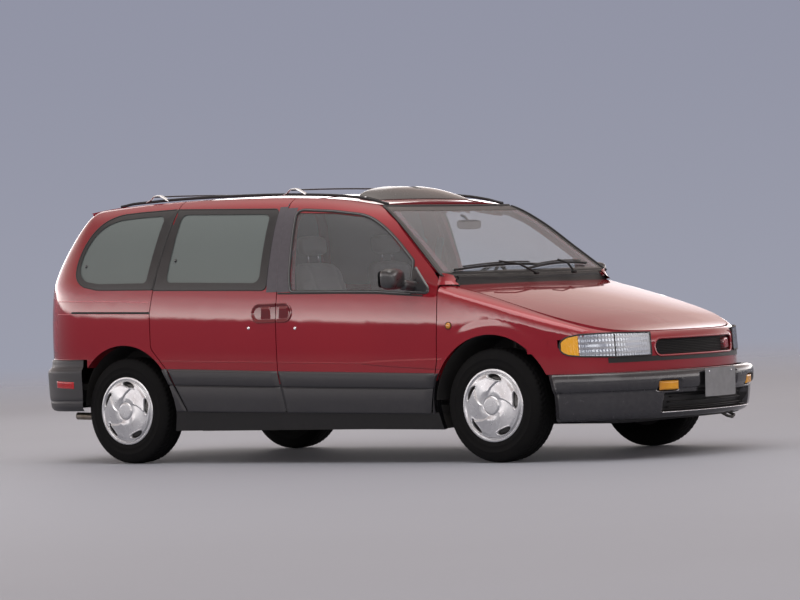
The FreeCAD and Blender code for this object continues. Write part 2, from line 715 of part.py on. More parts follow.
def roof():
    panel = roof_slab(0, ROOF_T).common(
        box(ROOF_REAR_X + SEAM / 2, 1500, -ROOF_EDGE_Y + SEAM / 2, ROOF_EDGE_Y - SEAM / 2, 1000, 1800))
    relief = roof_slab(GATE_SKIN, ROOF_T + 5).common(box(ROOF_REAR_X, ROOF_REAR_X + 14, -700, 700, 1000,
                                                         1800))
    panel = panel.cut(relief)
    header = box(ROOF_REAR_X - 34, ROOF_REAR_X + 30, -480, 480, 1516, 1534)
    riser = box(ROOF_REAR_X + 14, ROOF_REAR_X + 30, -480, 480, 1526, 1590)
    pins = lid_pins(GATE_AXIS_X, (-GATE_HINGE_Y, GATE_HINGE_Y), GATE_AXIS_Z, 1530)
    return fuse([panel, header, riser] + pins)


def bumper(front):
    """Bumper cover that wraps the corner of the body."""
    if front:
        table = [(228, 55), (245, 30), (270, 14), (320, 3), (400, 0), (450, 0), (480, 6), (500, 22)]
        start, nose_x, half = 1408.0, 2411.0, 935.0
    else:
        table = [(336, 40), (350, 18), (380, 6), (450, 0), (560, 0), (630, 2), (652, 10), (664, 26)]
        start, nose_x, half = -1792.0, -2411.0, 935.0

    def point(q, z):
        inset = interpolate(table, z)
        t, f = end_curve(q, 3.15 if front else 2.6, 0.447 if front else 0.36)
        x = start + t * (nose_x - start - math.copysign(inset, nose_x - start))
        return V(x, -(half - inset * 0.6) * f, z)

    zs = [row[0] for row in table]
    qs = spread(0.05, 1.95, 39)
    body = slab(point, qs, zs, 0, 55, 1e-3, 1.0)
    if front:
        return cut(body, [arch(FRONT_AXLE_X, 452, -1100, 1100)])
    return cut(body, [arch(REAR_AXLE_X, ARCH_R + 6, -1100, 1100)])


def windshield():
    pane = slab(shield_point, spread(1104, 1545, 12), spread(-0.985, 0.985, 17), 0, GLASS_T, 1.0, 1e-3,
                upward)
    return pane


def cowl():
    body = slab(shield_point, spread(1030, 1103, 5), spread(-0.84, 0.84, 17), 0, 24, 1.0, 1e-3, upward)
    return body.cut(prism_z(grown(hood_outline(), COWL_GAP), 900, 1200))


def underbody(wall_right, wall_left, bumpers):
    """Floor, firewall, cowl box, rails, radiator support, sills and wheel houses."""
    front = box(FLOOR_STEP_X, FIREWALL_X + PANEL_T, -FLOOR_HALF, FLOOR_HALF, FRONT_FLOOR_Z,
                FRONT_FLOOR_Z + FLOOR_T)
    step = box(FLOOR_STEP_X - PANEL_T, FLOOR_STEP_X, -FLOOR_HALF, FLOOR_HALF, FRONT_FLOOR_Z,
               REAR_FLOOR_Z + FLOOR_T)
    rear = prism_z([(-2255, -600, 0), (-2190, -730, 60), (-2050, -FLOOR_HALF, 60),
                    (FLOOR_STEP_X, -FLOOR_HALF, 0),
                    (FLOOR_STEP_X, FLOOR_HALF, 0), (-2050, FLOOR_HALF, 60), (-2190, 730, 60),
                    (-2255, 600, 0)],
                   REAR_FLOOR_Z, REAR_FLOOR_Z + FLOOR_T)
    firewall = box(FIREWALL_X, FIREWALL_X + PANEL_T, -790, 790, FRONT_FLOOR_Z, COWL_BOX_Z + PANEL_T)
    cowl_box = box(FIREWALL_X, 1235, -COWL_BOX_HALF, COWL_BOX_HALF, COWL_BOX_Z, COWL_BOX_Z + PANEL_T)
    cowl_riser = box(FIREWALL_X, FIREWALL_X + PANEL_T, -760, 760, COWL_BOX_Z, 1035)
    tail_sill = box(-2255, -2225, -600, 600, REAR_FLOOR_Z - 90, 655)
    shapes = [front, step, rear, firewall, cowl_box, tail_sill]
    for s in (-1, 1):
        y0, y1 = sorted((s * RAIL_Y, s * (RAIL_Y + RAIL_W)))
        shapes.append(box(FIREWALL_X, 2345, y0, y1, 370, 460))
        shapes.append(box(-2370, -2230, y0, y1, REAR_FLOOR_Z, REAR_FLOOR_Z + 80))
        y0, y1 = sorted((s * 700, s * 810))
        shapes.append(box(-900, 985, y0, y1, SHELL_BOTTOM, FRONT_FLOOR_Z + 1))
    shapes.append(box(2110, 2140, -430, 430, 330, 690))
    body = fuse(shapes)
    tools = [wall_right, wall_left]
    outer = front_slab(0.80, 1.56, 17, -60, FENDER_T)
    skins = [outer, mirrored(outer)]
    houses = []
    for x, y_in in ((FRONT_AXLE_X, FRONT_HOUSE_Y), (REAR_AXLE_X, REAR_HOUSE_Y)):
        for s in (-1, 1):
            tools.append(arch(x, HOUSE_R, s * (y_in + HOUSE_WALL), s * 1100))
            shell = arch(x, HOUSE_R + HOUSE_WALL, s * y_in, s * (884 if x == FRONT_AXLE_X else 870))
            shell = shell.cut(arch(x, HOUSE_R, s * (y_in + HOUSE_WALL), s * 1100))
            shell = shell.cut(box(x - 600, x + 600, -1100, 1100, -200, 372))
            houses.append(cut(shell, skins if x == FRONT_AXLE_X else [wall_right, wall_left]))
    body = cut(body, tools)
    towers = []
    holes = []
    for s in (-1, 1):
        towers.append(rod((FRONT_AXLE_X, s * KINGPIN_Y, 740), (FRONT_AXLE_X, s * KINGPIN_Y, TOWER_Z), 62))
        holes.append(rod((FRONT_AXLE_X, s * KINGPIN_Y, 700), (FRONT_AXLE_X, s * KINGPIN_Y, TOWER_Z - 8), 54))
    body = cut(fuse([body] + houses + towers), holes)
    pins = lid_pins(HOOD_AXIS_X, (-HOOD_HINGE_Y, HOOD_HINGE_Y), HOOD_AXIS_Z, COWL_BOX_Z + PANEL_T - 2)
    body = cut(fuse([body, cowl_riser] + pins), bumpers)
    return max(body.Solids, key=lambda solid: solid.Volume)


def tyre():
    """Tyre section turned about the axle, centred on the origin."""
    w = TYRE_WIDTH / 2
    bead = RIM_WIDTH / 2 - 9
    wire = Part.Wire([
        Part.makeLine(V(0, -bead, RIM_R), V(0, -bead - 2, RIM_FLANGE_R)),
        Part.Arc(V(0, -bead - 2, RIM_FLANGE_R), V(0, -w, 262), V(0, -w + 14, 312)).toShape(),
        Part.Arc(V(0, -w + 14, 312), V(0, -w + 19, TYRE_R - 8), V(0, -w + 34, TYRE_R - 3)).toShape(),
        Part.Arc(V(0, -w + 34, TYRE_R - 3), V(0, 0, TYRE_R), V(0, w - 34, TYRE_R - 3)).toShape(),
        Part.Arc(V(0, w - 34, TYRE_R - 3), V(0, w - 19, TYRE_R - 8), V(0, w - 14, 312)).toShape(),
        Part.Arc(V(0, w - 14, 312), V(0, w, 262), V(0, bead + 2, RIM_FLANGE_R)).toShape(),
        Part.makeLine(V(0, bead + 2, RIM_FLANGE_R), V(0, bead, RIM_R)),
        Part.makeLine(V(0, bead, RIM_R), V(0, bead - 18, RIM_R)),
        Part.Arc(V(0, bead - 18, RIM_R), V(0, w - 14, 262), V(0, w - 34, TYRE_R - 18)).toShape(),
        Part.makeLine(V(0, w - 34, TYRE_R - 18), V(0, -w + 34, TYRE_R - 18)),
        Part.Arc(V(0, -w + 34, TYRE_R - 18), V(0, -w + 14, 262), V(0, -bead + 18, RIM_R)).toShape(),
        Part.makeLine(V(0, -bead + 18, RIM_R), V(0, -bead, RIM_R)),
    ])
    return Part.Face(wire).revolve(V(0, 0, 0), V(0, 1, 0), 360)


def rim():
    """Rim with its cover; the outer face looks towards -Y."""
    h = RIM_WIDTH / 2
    bead = h - 9
    pts = [(-h, RIM_R - 12), (-h, RIM_FLANGE_R), (-bead - 2, RIM_FLANGE_R), (-bead, RIM_R), (bead, RIM_R),
           (bead + 2, RIM_FLANGE_R), (h, RIM_FLANGE_R), (h, RIM_R - 12)]
    wire = Part.makePolygon([V(0, y, r) for y, r in pts + [pts[0]]])
    barrel = Part.Face(wire).revolve(V(0, 0, 0), V(0, 1, 0), 360)
    barrel = barrel.cut(rod((0, -h - 5, 0), (0, h + 5, 0), RIM_R - 12))
    face = [(-70, 0), (-72, 45), (-58, 110), (-66, 165), (-80, 180), (-72, 182), (-56, 166), (-46, 110),
            (-54, 45),
            (-54, 0)]
    wire = Part.makePolygon([V(0, y, r) for y, r in face + [face[0]]])
    cover = Part.Face(wire).revolve(V(0, 0, 0), V(0, 1, 0), 360)
    hub = rod((0, -60, 0), (0, 38, 0), 48)
    slots = []
    for k in range(COVER_SPOKES):
        a = 2 * math.pi * k / COVER_SPOKES
        slots.append(rod((150 * math.cos(a), -100, 150 * math.sin(a)),
                         (150 * math.cos(a), -20, 150 * math.sin(a)), 11))
    bore = rod((0, -40, 0), (0, 60, 0), 20 + RUNNING_FIT)
    return cut(fuse([barrel, cover, hub]), slots + [bore])


def wheel_shapes():
    t = tyre()
    r = rim()
    out = {}
    for end, x in (("front", FRONT_AXLE_X), ("rear", REAR_AXLE_X)):
        for side, s in (("right", -1), ("left", 1)):
            a = t.copy()
            b = r.copy() if s < 0 else mirrored(r)
            a.translate(V(x, s * WHEEL_Y, HUB_Z))
            b.translate(V(x, s * WHEEL_Y, HUB_Z))
            out["tyre_" + end + "_" + side] = a
            out["rim_" + end + "_" + side] = b
    return out


def knuckle():
    """Right-hand steering knuckle with strut tube and spindle."""
    x, y = FRONT_AXLE_X, -KINGPIN_Y
    tube = rod((x, y, 236), (x, y, 600), STRUT_TUBE_R)
    hub = rod((x, y, HUB_Z), (x, -WHEEL_Y + 40, HUB_Z), HUB_R)
    flange = rod((x, -WHEEL_Y + 52, HUB_Z), (x, -WHEEL_Y + 40, HUB_Z), HUB_FLANGE_R)
    spindle = rod((x, y, HUB_Z), (x, -WHEEL_Y - 36, HUB_Z), 20)
    arm = box(x - 150, x, y - 12, y + 12, 262, 286)
    strut_bore = rod((x, y, 380), (x, y, 700), STRUT_ROD_R + RUNNING_FIT)
    ball_bore = rod((x, y, 200), (x, y, 262), 10 + RUNNING_FIT)
    return cut(fuse([tube, hub, flange, spindle, arm]), [strut_bore, ball_bore])


def front_suspension():
    shapes = [box(1300, 1380, -500, 500, 262, 320)]
    for s in (-1, 1):
        y = s * KINGPIN_Y
        y0, y1 = sorted((s * RAIL_Y, s * (RAIL_Y + RAIL_W)))
        shapes.append(box(1300, 1380, y0, y1, 300, 370))
        outline = [(1310, s * 440, 0), (1370, s * 440, 0), (1430, y, 0), (1408, y + s * 22, 0), (1386, y, 0)]
        shapes.append(prism_z(outline, 212, 234).fuse(box(1310, 1370, min(s * 440, s * 500), max(s * 440,
                                                                                                 s * 500),
                                                          212, 270)))
        shapes.append(rod((FRONT_AXLE_X, y, 214), (FRONT_AXLE_X, y, 258), 10))
    rods = []
    for s in (-1, 1):
        y = s * KINGPIN_Y
        rods.append(rod((FRONT_AXLE_X, y, 400), (FRONT_AXLE_X, y, TOWER_Z - 8), STRUT_ROD_R))
        rods.append(rod((FRONT_AXLE_X, y, TOWER_Z - 24), (FRONT_AXLE_X, y, TOWER_Z - 8), 40))
    return Part.makeCompound([fuse(shapes)] + [fuse(rods[k:k + 2]) for k in (0, 2)])


def rear_axle():
    x = REAR_AXLE_X
    shapes = [rod((x, -WHEEL_Y + 52, HUB_Z), (x, WHEEL_Y - 52, HUB_Z), 28)]
    for s in (-1, 1):
        shapes.append(rod((x, s * (WHEEL_Y - 52), HUB_Z), (x, s * (WHEEL_Y - 40), HUB_Z), HUB_FLANGE_R))
        shapes.append(rod((x, s * (WHEEL_Y - 60), HUB_Z), (x, s * (WHEEL_Y + 36), HUB_Z), 20))
        y0, y1 = sorted((s * 490, s * 550))
        leaf = prism_y([(x - 560, 410, 0), (x - 300, 330, 200), (x, 298, 300), (x + 180, 330, 200),
                        (x + 280, 400, 0),
                        (x + 280, 416, 0), (x + 180, 346, 200), (x, 314, 300), (x - 300, 346, 200),
                        (x - 560, 426, 0)],
                       y0, y1)
        shapes.append(leaf)
        shapes.append(box(x - 575, x - 545, y0, y1, 405, REAR_FLOOR_Z))
        shapes.append(box(x - 50, x + 50, y0, y1, 300, 330))
    for s in (-1, 1):
        y0, y1 = sorted((s * 490, s * 550))
        shapes.append(box(x + 255, x + 280, y0, y1, 395, REAR_FLOOR_Z))
    return fuse(shapes)


def engine():
    block = prism_y([(1440, 345, 30), (1930, 345, 30), (1930, 680, 60), (1700, 790, 60), (1440, 830, 40)],
                    -370, 370)
    mounts = [box(1500, 1600, -RAIL_Y, -360, 400, 450), box(1500, 1600, 360, RAIL_Y, 400, 450)]
    return fuse([block] + mounts)


def seats_front():
    out = []
    for s in (-1, 1):
        y0, y1 = s * SEAT_Y - SEAT_W / 2, s * SEAT_Y + SEAT_W / 2
        base = box(-170, 250, y0 + 60, y1 - 60, FRONT_FLOOR_Z + FLOOR_T, 600)
        cushion = prism_y([(-230, 590, 40), (310, 600, 60), (320, 740, 60), (-180, 700, 40)], y0, y1)
        back = prism_y([(-200, 640, 40), (-60, 700, 50), (-230, 1250, 70), (-370, 1250, 60)], y0 + 10,
                       y1 - 10)
        stalk = prism_y([(-310, 1200, 0), (-290, 1200, 0), (-300, 1300, 0), (-320, 1300, 0)],
                        s * SEAT_Y - 60, s * SEAT_Y + 60)
        head = prism_y([(-350, 1262, 30), (-250, 1262, 30), (-270, 1400, 40), (-360, 1400, 40)],
                       s * SEAT_Y - 130,
                       s * SEAT_Y + 130)
        out.append(fuse([base, cushion, back, stalk, head]))
    return out


def seats_rear():
    out = []
    for x, z in ((-850, FRONT_FLOOR_Z + FLOOR_T), (-1640, REAR_FLOOR_Z + FLOOR_T)):
        half = 640 if x > -1000 else 560
        base = box(x - 120, x + 200, -half + 80, half - 80, z, z + 140)
        cushion = prism_y([(x - 200, z + 130, 40), (x + 260, z + 130, 60), (x + 270, z + 280, 60),
                           (x - 150, z + 240, 40)],
                          -half, half)
        back = prism_y([(x - 200, z + 180, 40), (x - 60, z + 240, 50), (x - 180, z + 780, 60),
                        (x - 300, z + 780, 50)],
                       -half, half)
        out.append(fuse([base, cushion, back]))
    return out


def steering_wheel():
    t = math.radians(STEER_TILT)
    d = V(math.cos(t), 0, -math.sin(t))
    c = V(STEER_X, STEER_Y, STEER_Z)
    ring = Part.makeTorus(WHEEL_RIM_R, 13, c, d)
    hub = Part.makeCylinder(55, 40, c - d * 5, d)
    side = V(0, 1, 0)
    up = d.cross(side)
    spokes = []
    for a in (15, 165, 270):
        r = math.radians(a)
        e = side * math.cos(r) - up * math.sin(r)
        spokes.append(Part.makeCylinder(11, WHEEL_RIM_R, c + d * 12, e))
    shaft = Part.makeCylinder(14, 150, c + d * 30, d)
    return fuse([ring, hub, shaft] + spokes), c, d


def dashboard(c, d):
    body = prism_y([(600, 760, 60), (690, 730, 40), (FIREWALL_X, 700, 0), (FIREWALL_X, 1020, 0),
                    (940, 1030, 30), (700, 1030, 80),
                    (620, 960, 60)], -770, 770)
    column = Part.makeCylinder(38, 330, c + d * 95, d)
    bore = Part.makeCylinder(14 + RUNNING_FIT, 200, c + d * 60, d)
    return fuse([body, column]).cut(bore)


def rack(panel):
    shapes = []
    xs = spread(RAIL_REAR_X, RAIL_FRONT_X, 9)
    for s in (-1, 1):
        y = s * RACK_Y
        low = [(x, roof_point(x, y).z + 1, 0) for x in xs]
        high = [(x, z + RAIL_H, 0) for x, z, r in reversed(low)]
        shapes.append(prism_y(low + high, y - RAIL_W / 2, y + RAIL_W / 2))
    for x in RACK_BARS:
        z = roof_point(x, RACK_Y).z
        for s in (-1, 1):
            foot = [(x - 92, z + 2, 0), (x + 92, z + 2, 0), (x + 40, z + 50, 0), (x - 40, z + 50, 0)]
            shapes.append(prism_y(foot, s * RACK_Y - FOOT_W / 2, s * RACK_Y + FOOT_W / 2))
        shapes.append(box(x - 22, x + 22, -RACK_Y - 5, RACK_Y + 5, z + 40, z + 56))
    return fuse(shapes).cut(panel)


def deflector(panel):
    pts = [(130, 1560, 0), (345, 1560, 0), (345, 1606, 4), (150, 1672, 10), (120, 1668, 4)]
    above = prism_y(pts, -480, 480).cut(panel)
    return max(above.Solids, key=lambda solid: solid.Volume)


def mirror():
    """Right door mirror on its sail."""
    shell = prism_x([(-1150, 1030, 40), (-965, 1030, 30), (-965, 1165, 40), (-1150, 1165, 50)], 770, 880)
    arm = box(800, 900, -980, -880, 1036, 1062).cut(side_slab(0, SKIN * 2))
    sail = side_slab(-SAIL_T, 0).common(prism_y(MIRROR_SAIL, -1100, -700))
    return fuse([shell, arm, sail])


def wipers():
    out = []
    for y0, y1 in ((-520, -60), (0, 480)):
        pts = []
        p0 = shield_point(1090, y0 / 890.0)
        p1 = shield_point(1135, y1 / 880.0)
        n = V(0.55, 0, 0.83)
        out.append(rod(tuple(p0 + n * 8), tuple(p1 + n * 12), 7))
        out.append(Part.makeCylinder(14, 24, p0 - n * 8, n))
    return [out[0].fuse(out[1]), out[2].fuse(out[3])]


def exhaust():
    y = -250
    pts = [(1500, y, 345), (1500, y, 235), (300, y, 235), (-900, y, 252), (-1700, y, 252)]
    shapes = [rod(pts[k], pts[k + 1], 25) for k in range(4)] + [Part.makeSphere(25, V(*p)) for p in pts[1:4]]
    muffler = box(-2050, -1700, -700, -200, 215, 300)
    tail = rod((-2040, -650, 270), (-2330, -650, 270),
               27).cut(rod((-2100, -650, 270), (-2340, -650, 270), 23))
    hangers = [box(200, 230, y - 8, y + 8, 250, FRONT_FLOOR_Z),
               box(-1000, -970, y - 8, y + 8, 250, FRONT_FLOOR_Z),
               box(-1900, -1870, y - 100, y - 84, 290, REAR_FLOOR_Z)]
    return fuse(shapes + [muffler, tail] + hangers)


def tail_lamps():
    block = side_slab(0, 40).common(prism_y([(-2600, 720, 0), (-2060, 720, 10), (-2050, 1060, 10), (-2600,
                                                                                                    1060, 0)],
                                            -1000, -760))
    return block.cut(prism_x(grown(TAILGATE_OUTLINE, SEAM), -2700, -1750))


def main():
    skin = side_slab(0, SKIN)
    wall = side_slab(0, WALL)
    door, slider, glass, quarter_hole = doors(skin)
    door, goosenecks = door_hinges(door)
    lamp = tail_lamps()
    right = cut(side_body(wall, False), [quarter_hole, lamp])
    slider_hole = prism_y(SLIDER_GLASS, -1100, -400)
    left_as_right = cut(side_body(wall, True), [quarter_hole, slider_hole, lamp])
    for piece in goosenecks:
        right = right.fuse(piece)
        left_as_right = left_as_right.fuse(piece)
    left = mirrored(left_as_right)
    save("body_side_right", right)
    save("body_side_left", left)
    save("sliding_door", slider)
    save("side_glass", Part.makeCompound([glass[1], glass[2], mirrored(glass[1]), mirrored(glass[2])]))
    mir = mirror()
    save("door_front_right", door)
    save("door_glass_right", glass[0])
    save("mirror_right", mir)
    save("door_front_left", mirrored(door))
    save("door_glass_left", mirrored(glass[0]))
    save("mirror_left", mirrored(mir))
    save("tail_lamps", Part.makeCompound([lamp, mirrored(lamp)]))
    top = roof()
    save("roof_panel", top)
    gate, gate_glass = tailgate()
    save("tailgate", gate)
    save("tailgate_glass", gate_glass)
    panel = fender()
    save("front_fenders", Part.makeCompound([panel, mirrored(panel)]))
    save("nose_panel", nose())
    save("headlamps", Part.makeCompound(lamps()))
    save("grille", grille())
    save("hood", hood())
    bumpers = [bumper(True), bumper(False)]
    save("front_bumper", bumpers[0])
    save("rear_bumper", bumpers[1])
    save("windshield", windshield())
    cowl_panel = cowl()
    save("cowl_panel", cowl_panel)
    save("underbody", underbody(wall, mirrored(wall), bumpers))
    for name, shape in wheel_shapes().items():
        save(name, shape)
    k = knuckle()
    save("knuckle_right", k)
    save("knuckle_left", mirrored(k))
    save("front_suspension", front_suspension())
    save("rear_axle", rear_axle())
    save("engine_block", engine())
    save("front_seats", Part.makeCompound(seats_front()))
    save("rear_seats", Part.makeCompound(seats_rear()))
    wheel, c, d = steering_wheel()
    save("steering_wheel", wheel)
    save("dashboard", dashboard(c, d))
    save("roof_rack", rack(top))
    save("roof_deflector", deflector(top))
    save("wipers", Part.makeCompound([w.cut(cowl_panel) for w in wipers()]))
    save("fuel_tank", box(-850, -350, -200, 350, 205, FRONT_FLOOR_Z))
    save("exhaust", exhaust())


if __name__ == "__main__":
    main()
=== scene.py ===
import json
import math

import bpy
import mathutils
import numpy as np
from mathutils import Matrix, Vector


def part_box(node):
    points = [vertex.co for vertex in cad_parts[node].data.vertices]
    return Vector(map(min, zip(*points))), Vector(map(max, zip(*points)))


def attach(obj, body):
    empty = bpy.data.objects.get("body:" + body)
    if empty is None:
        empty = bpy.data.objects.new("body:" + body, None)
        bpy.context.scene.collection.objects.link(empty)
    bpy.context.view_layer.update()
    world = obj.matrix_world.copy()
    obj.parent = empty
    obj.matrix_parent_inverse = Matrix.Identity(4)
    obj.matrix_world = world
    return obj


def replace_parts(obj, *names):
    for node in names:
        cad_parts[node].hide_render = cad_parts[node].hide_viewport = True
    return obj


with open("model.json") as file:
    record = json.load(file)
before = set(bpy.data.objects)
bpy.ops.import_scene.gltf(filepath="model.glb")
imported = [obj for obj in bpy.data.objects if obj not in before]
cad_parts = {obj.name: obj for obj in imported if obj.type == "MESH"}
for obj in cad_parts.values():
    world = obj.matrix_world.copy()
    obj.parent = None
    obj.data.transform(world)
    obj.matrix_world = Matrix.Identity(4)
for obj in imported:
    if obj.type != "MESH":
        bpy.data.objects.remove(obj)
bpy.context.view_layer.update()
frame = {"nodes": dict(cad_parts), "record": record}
nodes = frame["nodes"]
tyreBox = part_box("tyre_front_right")
shiftX = 1.408 - (tyreBox[0][0] + tyreBox[1][0]) / 2  # from the formulas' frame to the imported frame
shiftZ = 0.336 - (tyreBox[0][2] + tyreBox[1][2]) / 2

# main measures of the body in metres
body = {
    "frontAxle": 1.408, "rearAxle": -1.442, "hubZ": 0.336, "wheelY": 0.8065,
    "nose": 2.283, "noseStart": 1.408, "tailStart": -1.792, "widest": 0.058,
    "barrel": 0.010, "barrelLength": 1.6, "rakeEnd": 1.05, "shellTop": 1.64,
    "roofDrop": 0.022, "roofEdge": 0.655, "archR": 0.415,
}
# its lines as (place, value) pairs
lines = {
    "halfWidth": [(.2, .895), (.4, .922), (.6, .933), (.8, .932), (.95, .924), (1.05, .912), (1.15, .893),
                  (1.3, .853), (1.45, .803), (1.55, .757), (1.6, .722), (1.625, .69), (1.64, .655)],
    "tail": [(.2, -2.312), (.6, -2.322), (1.0, -2.307), (1.15, -2.272), (1.3, -2.212), (1.45, -2.122),
             (1.55, -2.04), (1.6, -1.985), (1.625, -1.945), (1.64, -1.885)],
    "rake": [(.2, .012), (.3, .017), (.58, .03), (.85, .037), (1.05, .0415)],
    "roof": [(-2.192, 1.56), (-1.892, 1.63), (-1.392, 1.662), (-.792, 1.666), (-.192, 1.648), (.208, 1.615),
             (.428, 1.575), (.908, 1.5)],
    "shieldCentre": [(1.03, 1.215), (1.105, 1.11), (1.262, .905), (1.405, .695), (1.5, .545), (1.562, .43),
                     (1.6, .35)],
    "shieldSide": [(1.03, 1.15), (1.109, 1.048), (1.25, .88), (1.441, .65), (1.526, .517), (1.56, .436),
                   (1.6, .33)],
    "shieldHalf": [(1.03, .905), (1.109, .884), (1.25, .826), (1.441, .747), (1.526, .69), (1.56, .652),
                   (1.6, .64)],
}
sides = (("right", 1), ("left", -1))


def along(name, value):  # cubic through the pairs of a line; each pair's slope is the mean of its two sides
    xs, ys = np.array(lines[name], float).T if isinstance(name, str) else np.array(name, float).T
    value = np.asarray(value, float)
    k = np.clip(np.searchsorted(xs[1:-1], value), 0, len(xs) - 2)
    seg = np.diff(ys) / np.diff(xs)
    slope = np.concatenate([seg[:1], (seg[1:] + seg[:-1]) / 2, seg[-1:]])
    h = xs[k + 1] - xs[k]
    t = np.clip((value - xs[k]) / h, 0, 1)
    cubic = (ys[k] * (2 * t ** 3 - 3 * t ** 2 + 1) + ys[k + 1] * (3 * t ** 2 - 2 * t ** 3)
             + h * (slope[k] * (t ** 3 - 2 * t ** 2 + t) + slope[k + 1] * (t ** 3 - t ** 2)))
    out = np.where(value < xs[0], (value - xs[0]) * slope[0],
                   np.where(value > xs[-1], (value - xs[-1]) * slope[-1], 0))
    return cubic + out


def onLine(value, pairs):  # straight between the pairs
    return np.interp(value, *zip(*pairs))


# reach t and share f with f = (1 - t^power)^root, from the side (q 0) to the middle (q 1)
def roundEnd(q, power, root):
    q = np.asarray(q, float)
    sign = np.where(q > 1, -1.0, 1.0)
    q = np.where(q > 1, 2 - q, q)
    split = 0.8
    reach = (1 - split ** (1 / root)) ** (1 / power)
    tSide = reach * np.clip(q, 0, 0.5) / 0.5
    fEnd = split * (1 - np.clip(q, 0.5, 1)) / 0.5
    t = np.where(q < 0.5, tSide, (1 - fEnd ** (1 / root)) ** (1 / power))
    f = np.where(q < 0.5, (1 - tSide ** power) ** root, fEnd)
    return t, sign * f


# plan of the body: x runs tail to nose, y = -halfWidth(level) * barrel bulge * end share
def wrapPoint(q, level):
    q, level = np.broadcast_arrays(np.asarray(q, float), np.asarray(level, float))
    tb, fb = roundEnd(np.clip(-q, 0, 2), 2.2, 0.25)
    tn, fn = roundEnd(np.clip(q - 1, 0, 2), 3.15, 0.447)
    tail = along("tail", level)
    x = np.where(q < 0, body["tailStart"] + tb * (tail - body["tailStart"]),
                 np.where(q > 1, body["noseStart"] + tn * (body["nose"] - body["noseStart"]),
                          body["tailStart"] + q * (body["noseStart"] - body["tailStart"])))
    f = np.where(q < 0, fb, np.where(q > 1, fn, 1.0))
    bulge = 1 - body["barrel"] * ((x - body["widest"]) / body["barrelLength"]) ** 2
    return x, -along("halfWidth", level) * bulge * f


def roofHeight(x, y):  # crown along the middle, less a drop that grows with y squared
    return along("roof", x) - body["roofDrop"] * np.minimum(1, np.abs(y) / body["roofEdge"]) ** 2


# y of the right side at a place seen from the side: the level line through it, then the wrap
def sideAt(x, z):
    x, z = np.broadcast_arrays(np.asarray(x, float), np.asarray(z, float))
    base = body["rakeEnd"] + along("rake", body["rakeEnd"]) * (body["widest"] - x)
    level = z.copy()
    y = np.full(x.shape, -0.9)
    for _ in range(4):
        low = z - along("rake", np.minimum(level, body["rakeEnd"])) * (body["widest"] - x)
        top = roofHeight(x, y)
        high = body["rakeEnd"] + (z - base) / (top - base) * (body["shellTop"] - body["rakeEnd"])
        level = np.where(z <= base, low, high)
        tn = np.clip((x - body["noseStart"]) / (body["nose"] - body["noseStart"]), 0, 0.999)
        tb = np.clip((x - body["tailStart"]) / (along("tail", level) - body["tailStart"]), 0, 0.999)
        f = np.where(x > body["noseStart"], (1 - tn ** 3.15) ** 0.447,
                     np.where(x < body["tailStart"], (1 - tb ** 2.2) ** 0.25, 1.0))
        bulge = 1 - body["barrel"] * ((x - body["widest"]) / body["barrelLength"]) ** 2
        y = -along("halfWidth", level) * bulge * f
    return y


def shieldPoint(level, s):  # windshield: centre line and side line mixed with |s|^2.2
    xc, xs, half = along("shieldCentre", level), along("shieldSide", level), along("shieldHalf", level)
    return np.stack([xc + (xs - xc) * np.abs(s) ** 2.2, half * s, level + 0 * s], -1)


def unit(v):  # v over its length
    return v / np.maximum(np.linalg.norm(v, axis=-1, keepdims=True), 1e-12)


# points are given in the formulas' frame; materials and faceMats are for a piece of several finishes
def addMesh(name, verts, faces, material, owner=None, smooth=True, materials=None, faceMats=None):
    verts = np.asarray(verts, float).reshape(-1, 3) - np.array([shiftX, 0, shiftZ])
    mesh = bpy.data.meshes.new(name)
    mesh.from_pydata(verts.tolist(), [], [list(f) for f in faces])
    for m in (materials or [material]):
        mesh.materials.append(m)
    if faceMats is not None:
        mesh.polygons.foreach_set("material_index", np.asarray(faceMats, np.int32))
    mesh.polygons.foreach_set("use_smooth", np.full(len(mesh.polygons), smooth))
    mesh.validate()
    mesh.update()
    obj = bpy.data.objects.new(name, mesh)
    bpy.context.scene.collection.objects.link(obj)
    if owner:
        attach(obj, owner)
    return obj


def gridFaces(nu, nv, closeU=False, closeV=False, flip=False, start=0):  # quads of an nu by nv grid
    u = np.arange(nu if closeU else nu - 1)
    v = np.arange(nv if closeV else nv - 1)
    uu, vv = np.meshgrid(u, v, indexing="ij")
    un, vn = (uu + 1) % nu, (vv + 1) % nv
    quads = np.stack([uu * nv + vv, un * nv + vv, un * nv + vn, uu * nv + vn], -1).reshape(-1, 4) + start
    return quads[:, ::-1] if flip else quads


def evenGrid(u, v):  # two arrays of a grid, each direction given as (first, last, count)
    return np.meshgrid(np.linspace(*u), np.linspace(*v), indexing="ij")


def flipY(p):  # the other side of the vehicle
    return np.asarray(p) * np.array([1, -1, 1])


# closed outline: each corner (a, b, r) becomes an arc tangent to its two sides
def roundOutline(points, steps=6):
    pts = np.array([p[:2] for p in points], float)
    out = []
    for k in range(len(points)):
        here, before, after = pts[k], pts[k - 1], pts[(k + 1) % len(points)]
        p, q = before - here, after - here
        lp, lq = np.linalg.norm(p), np.linalg.norm(q)
        p, q = p / lp, q / lq
        angle = math.acos(max(-1, min(1, float(p @ q))))
        if points[k][2] <= 0 or angle > math.pi - 0.02:
            out.append(here)
            continue
        cut = min(points[k][2] / math.tan(angle / 2), 0.49 * lp, 0.49 * lq)
        r = cut * math.tan(angle / 2)
        centre = here + unit(p + q) * r / math.sin(angle / 2)
        a0, a1 = here + p * cut - centre, here + q * cut - centre
        half = math.acos(max(-1, min(1, float(a0 @ a1) / r ** 2)))
        for t in np.linspace(0, 1, steps):
            arc = a0 * math.sin((1 - t) * half) + a1 * math.sin(t * half)
            out.append(centre + arc / max(math.sin(half), 1e-9))
    return np.array(out)


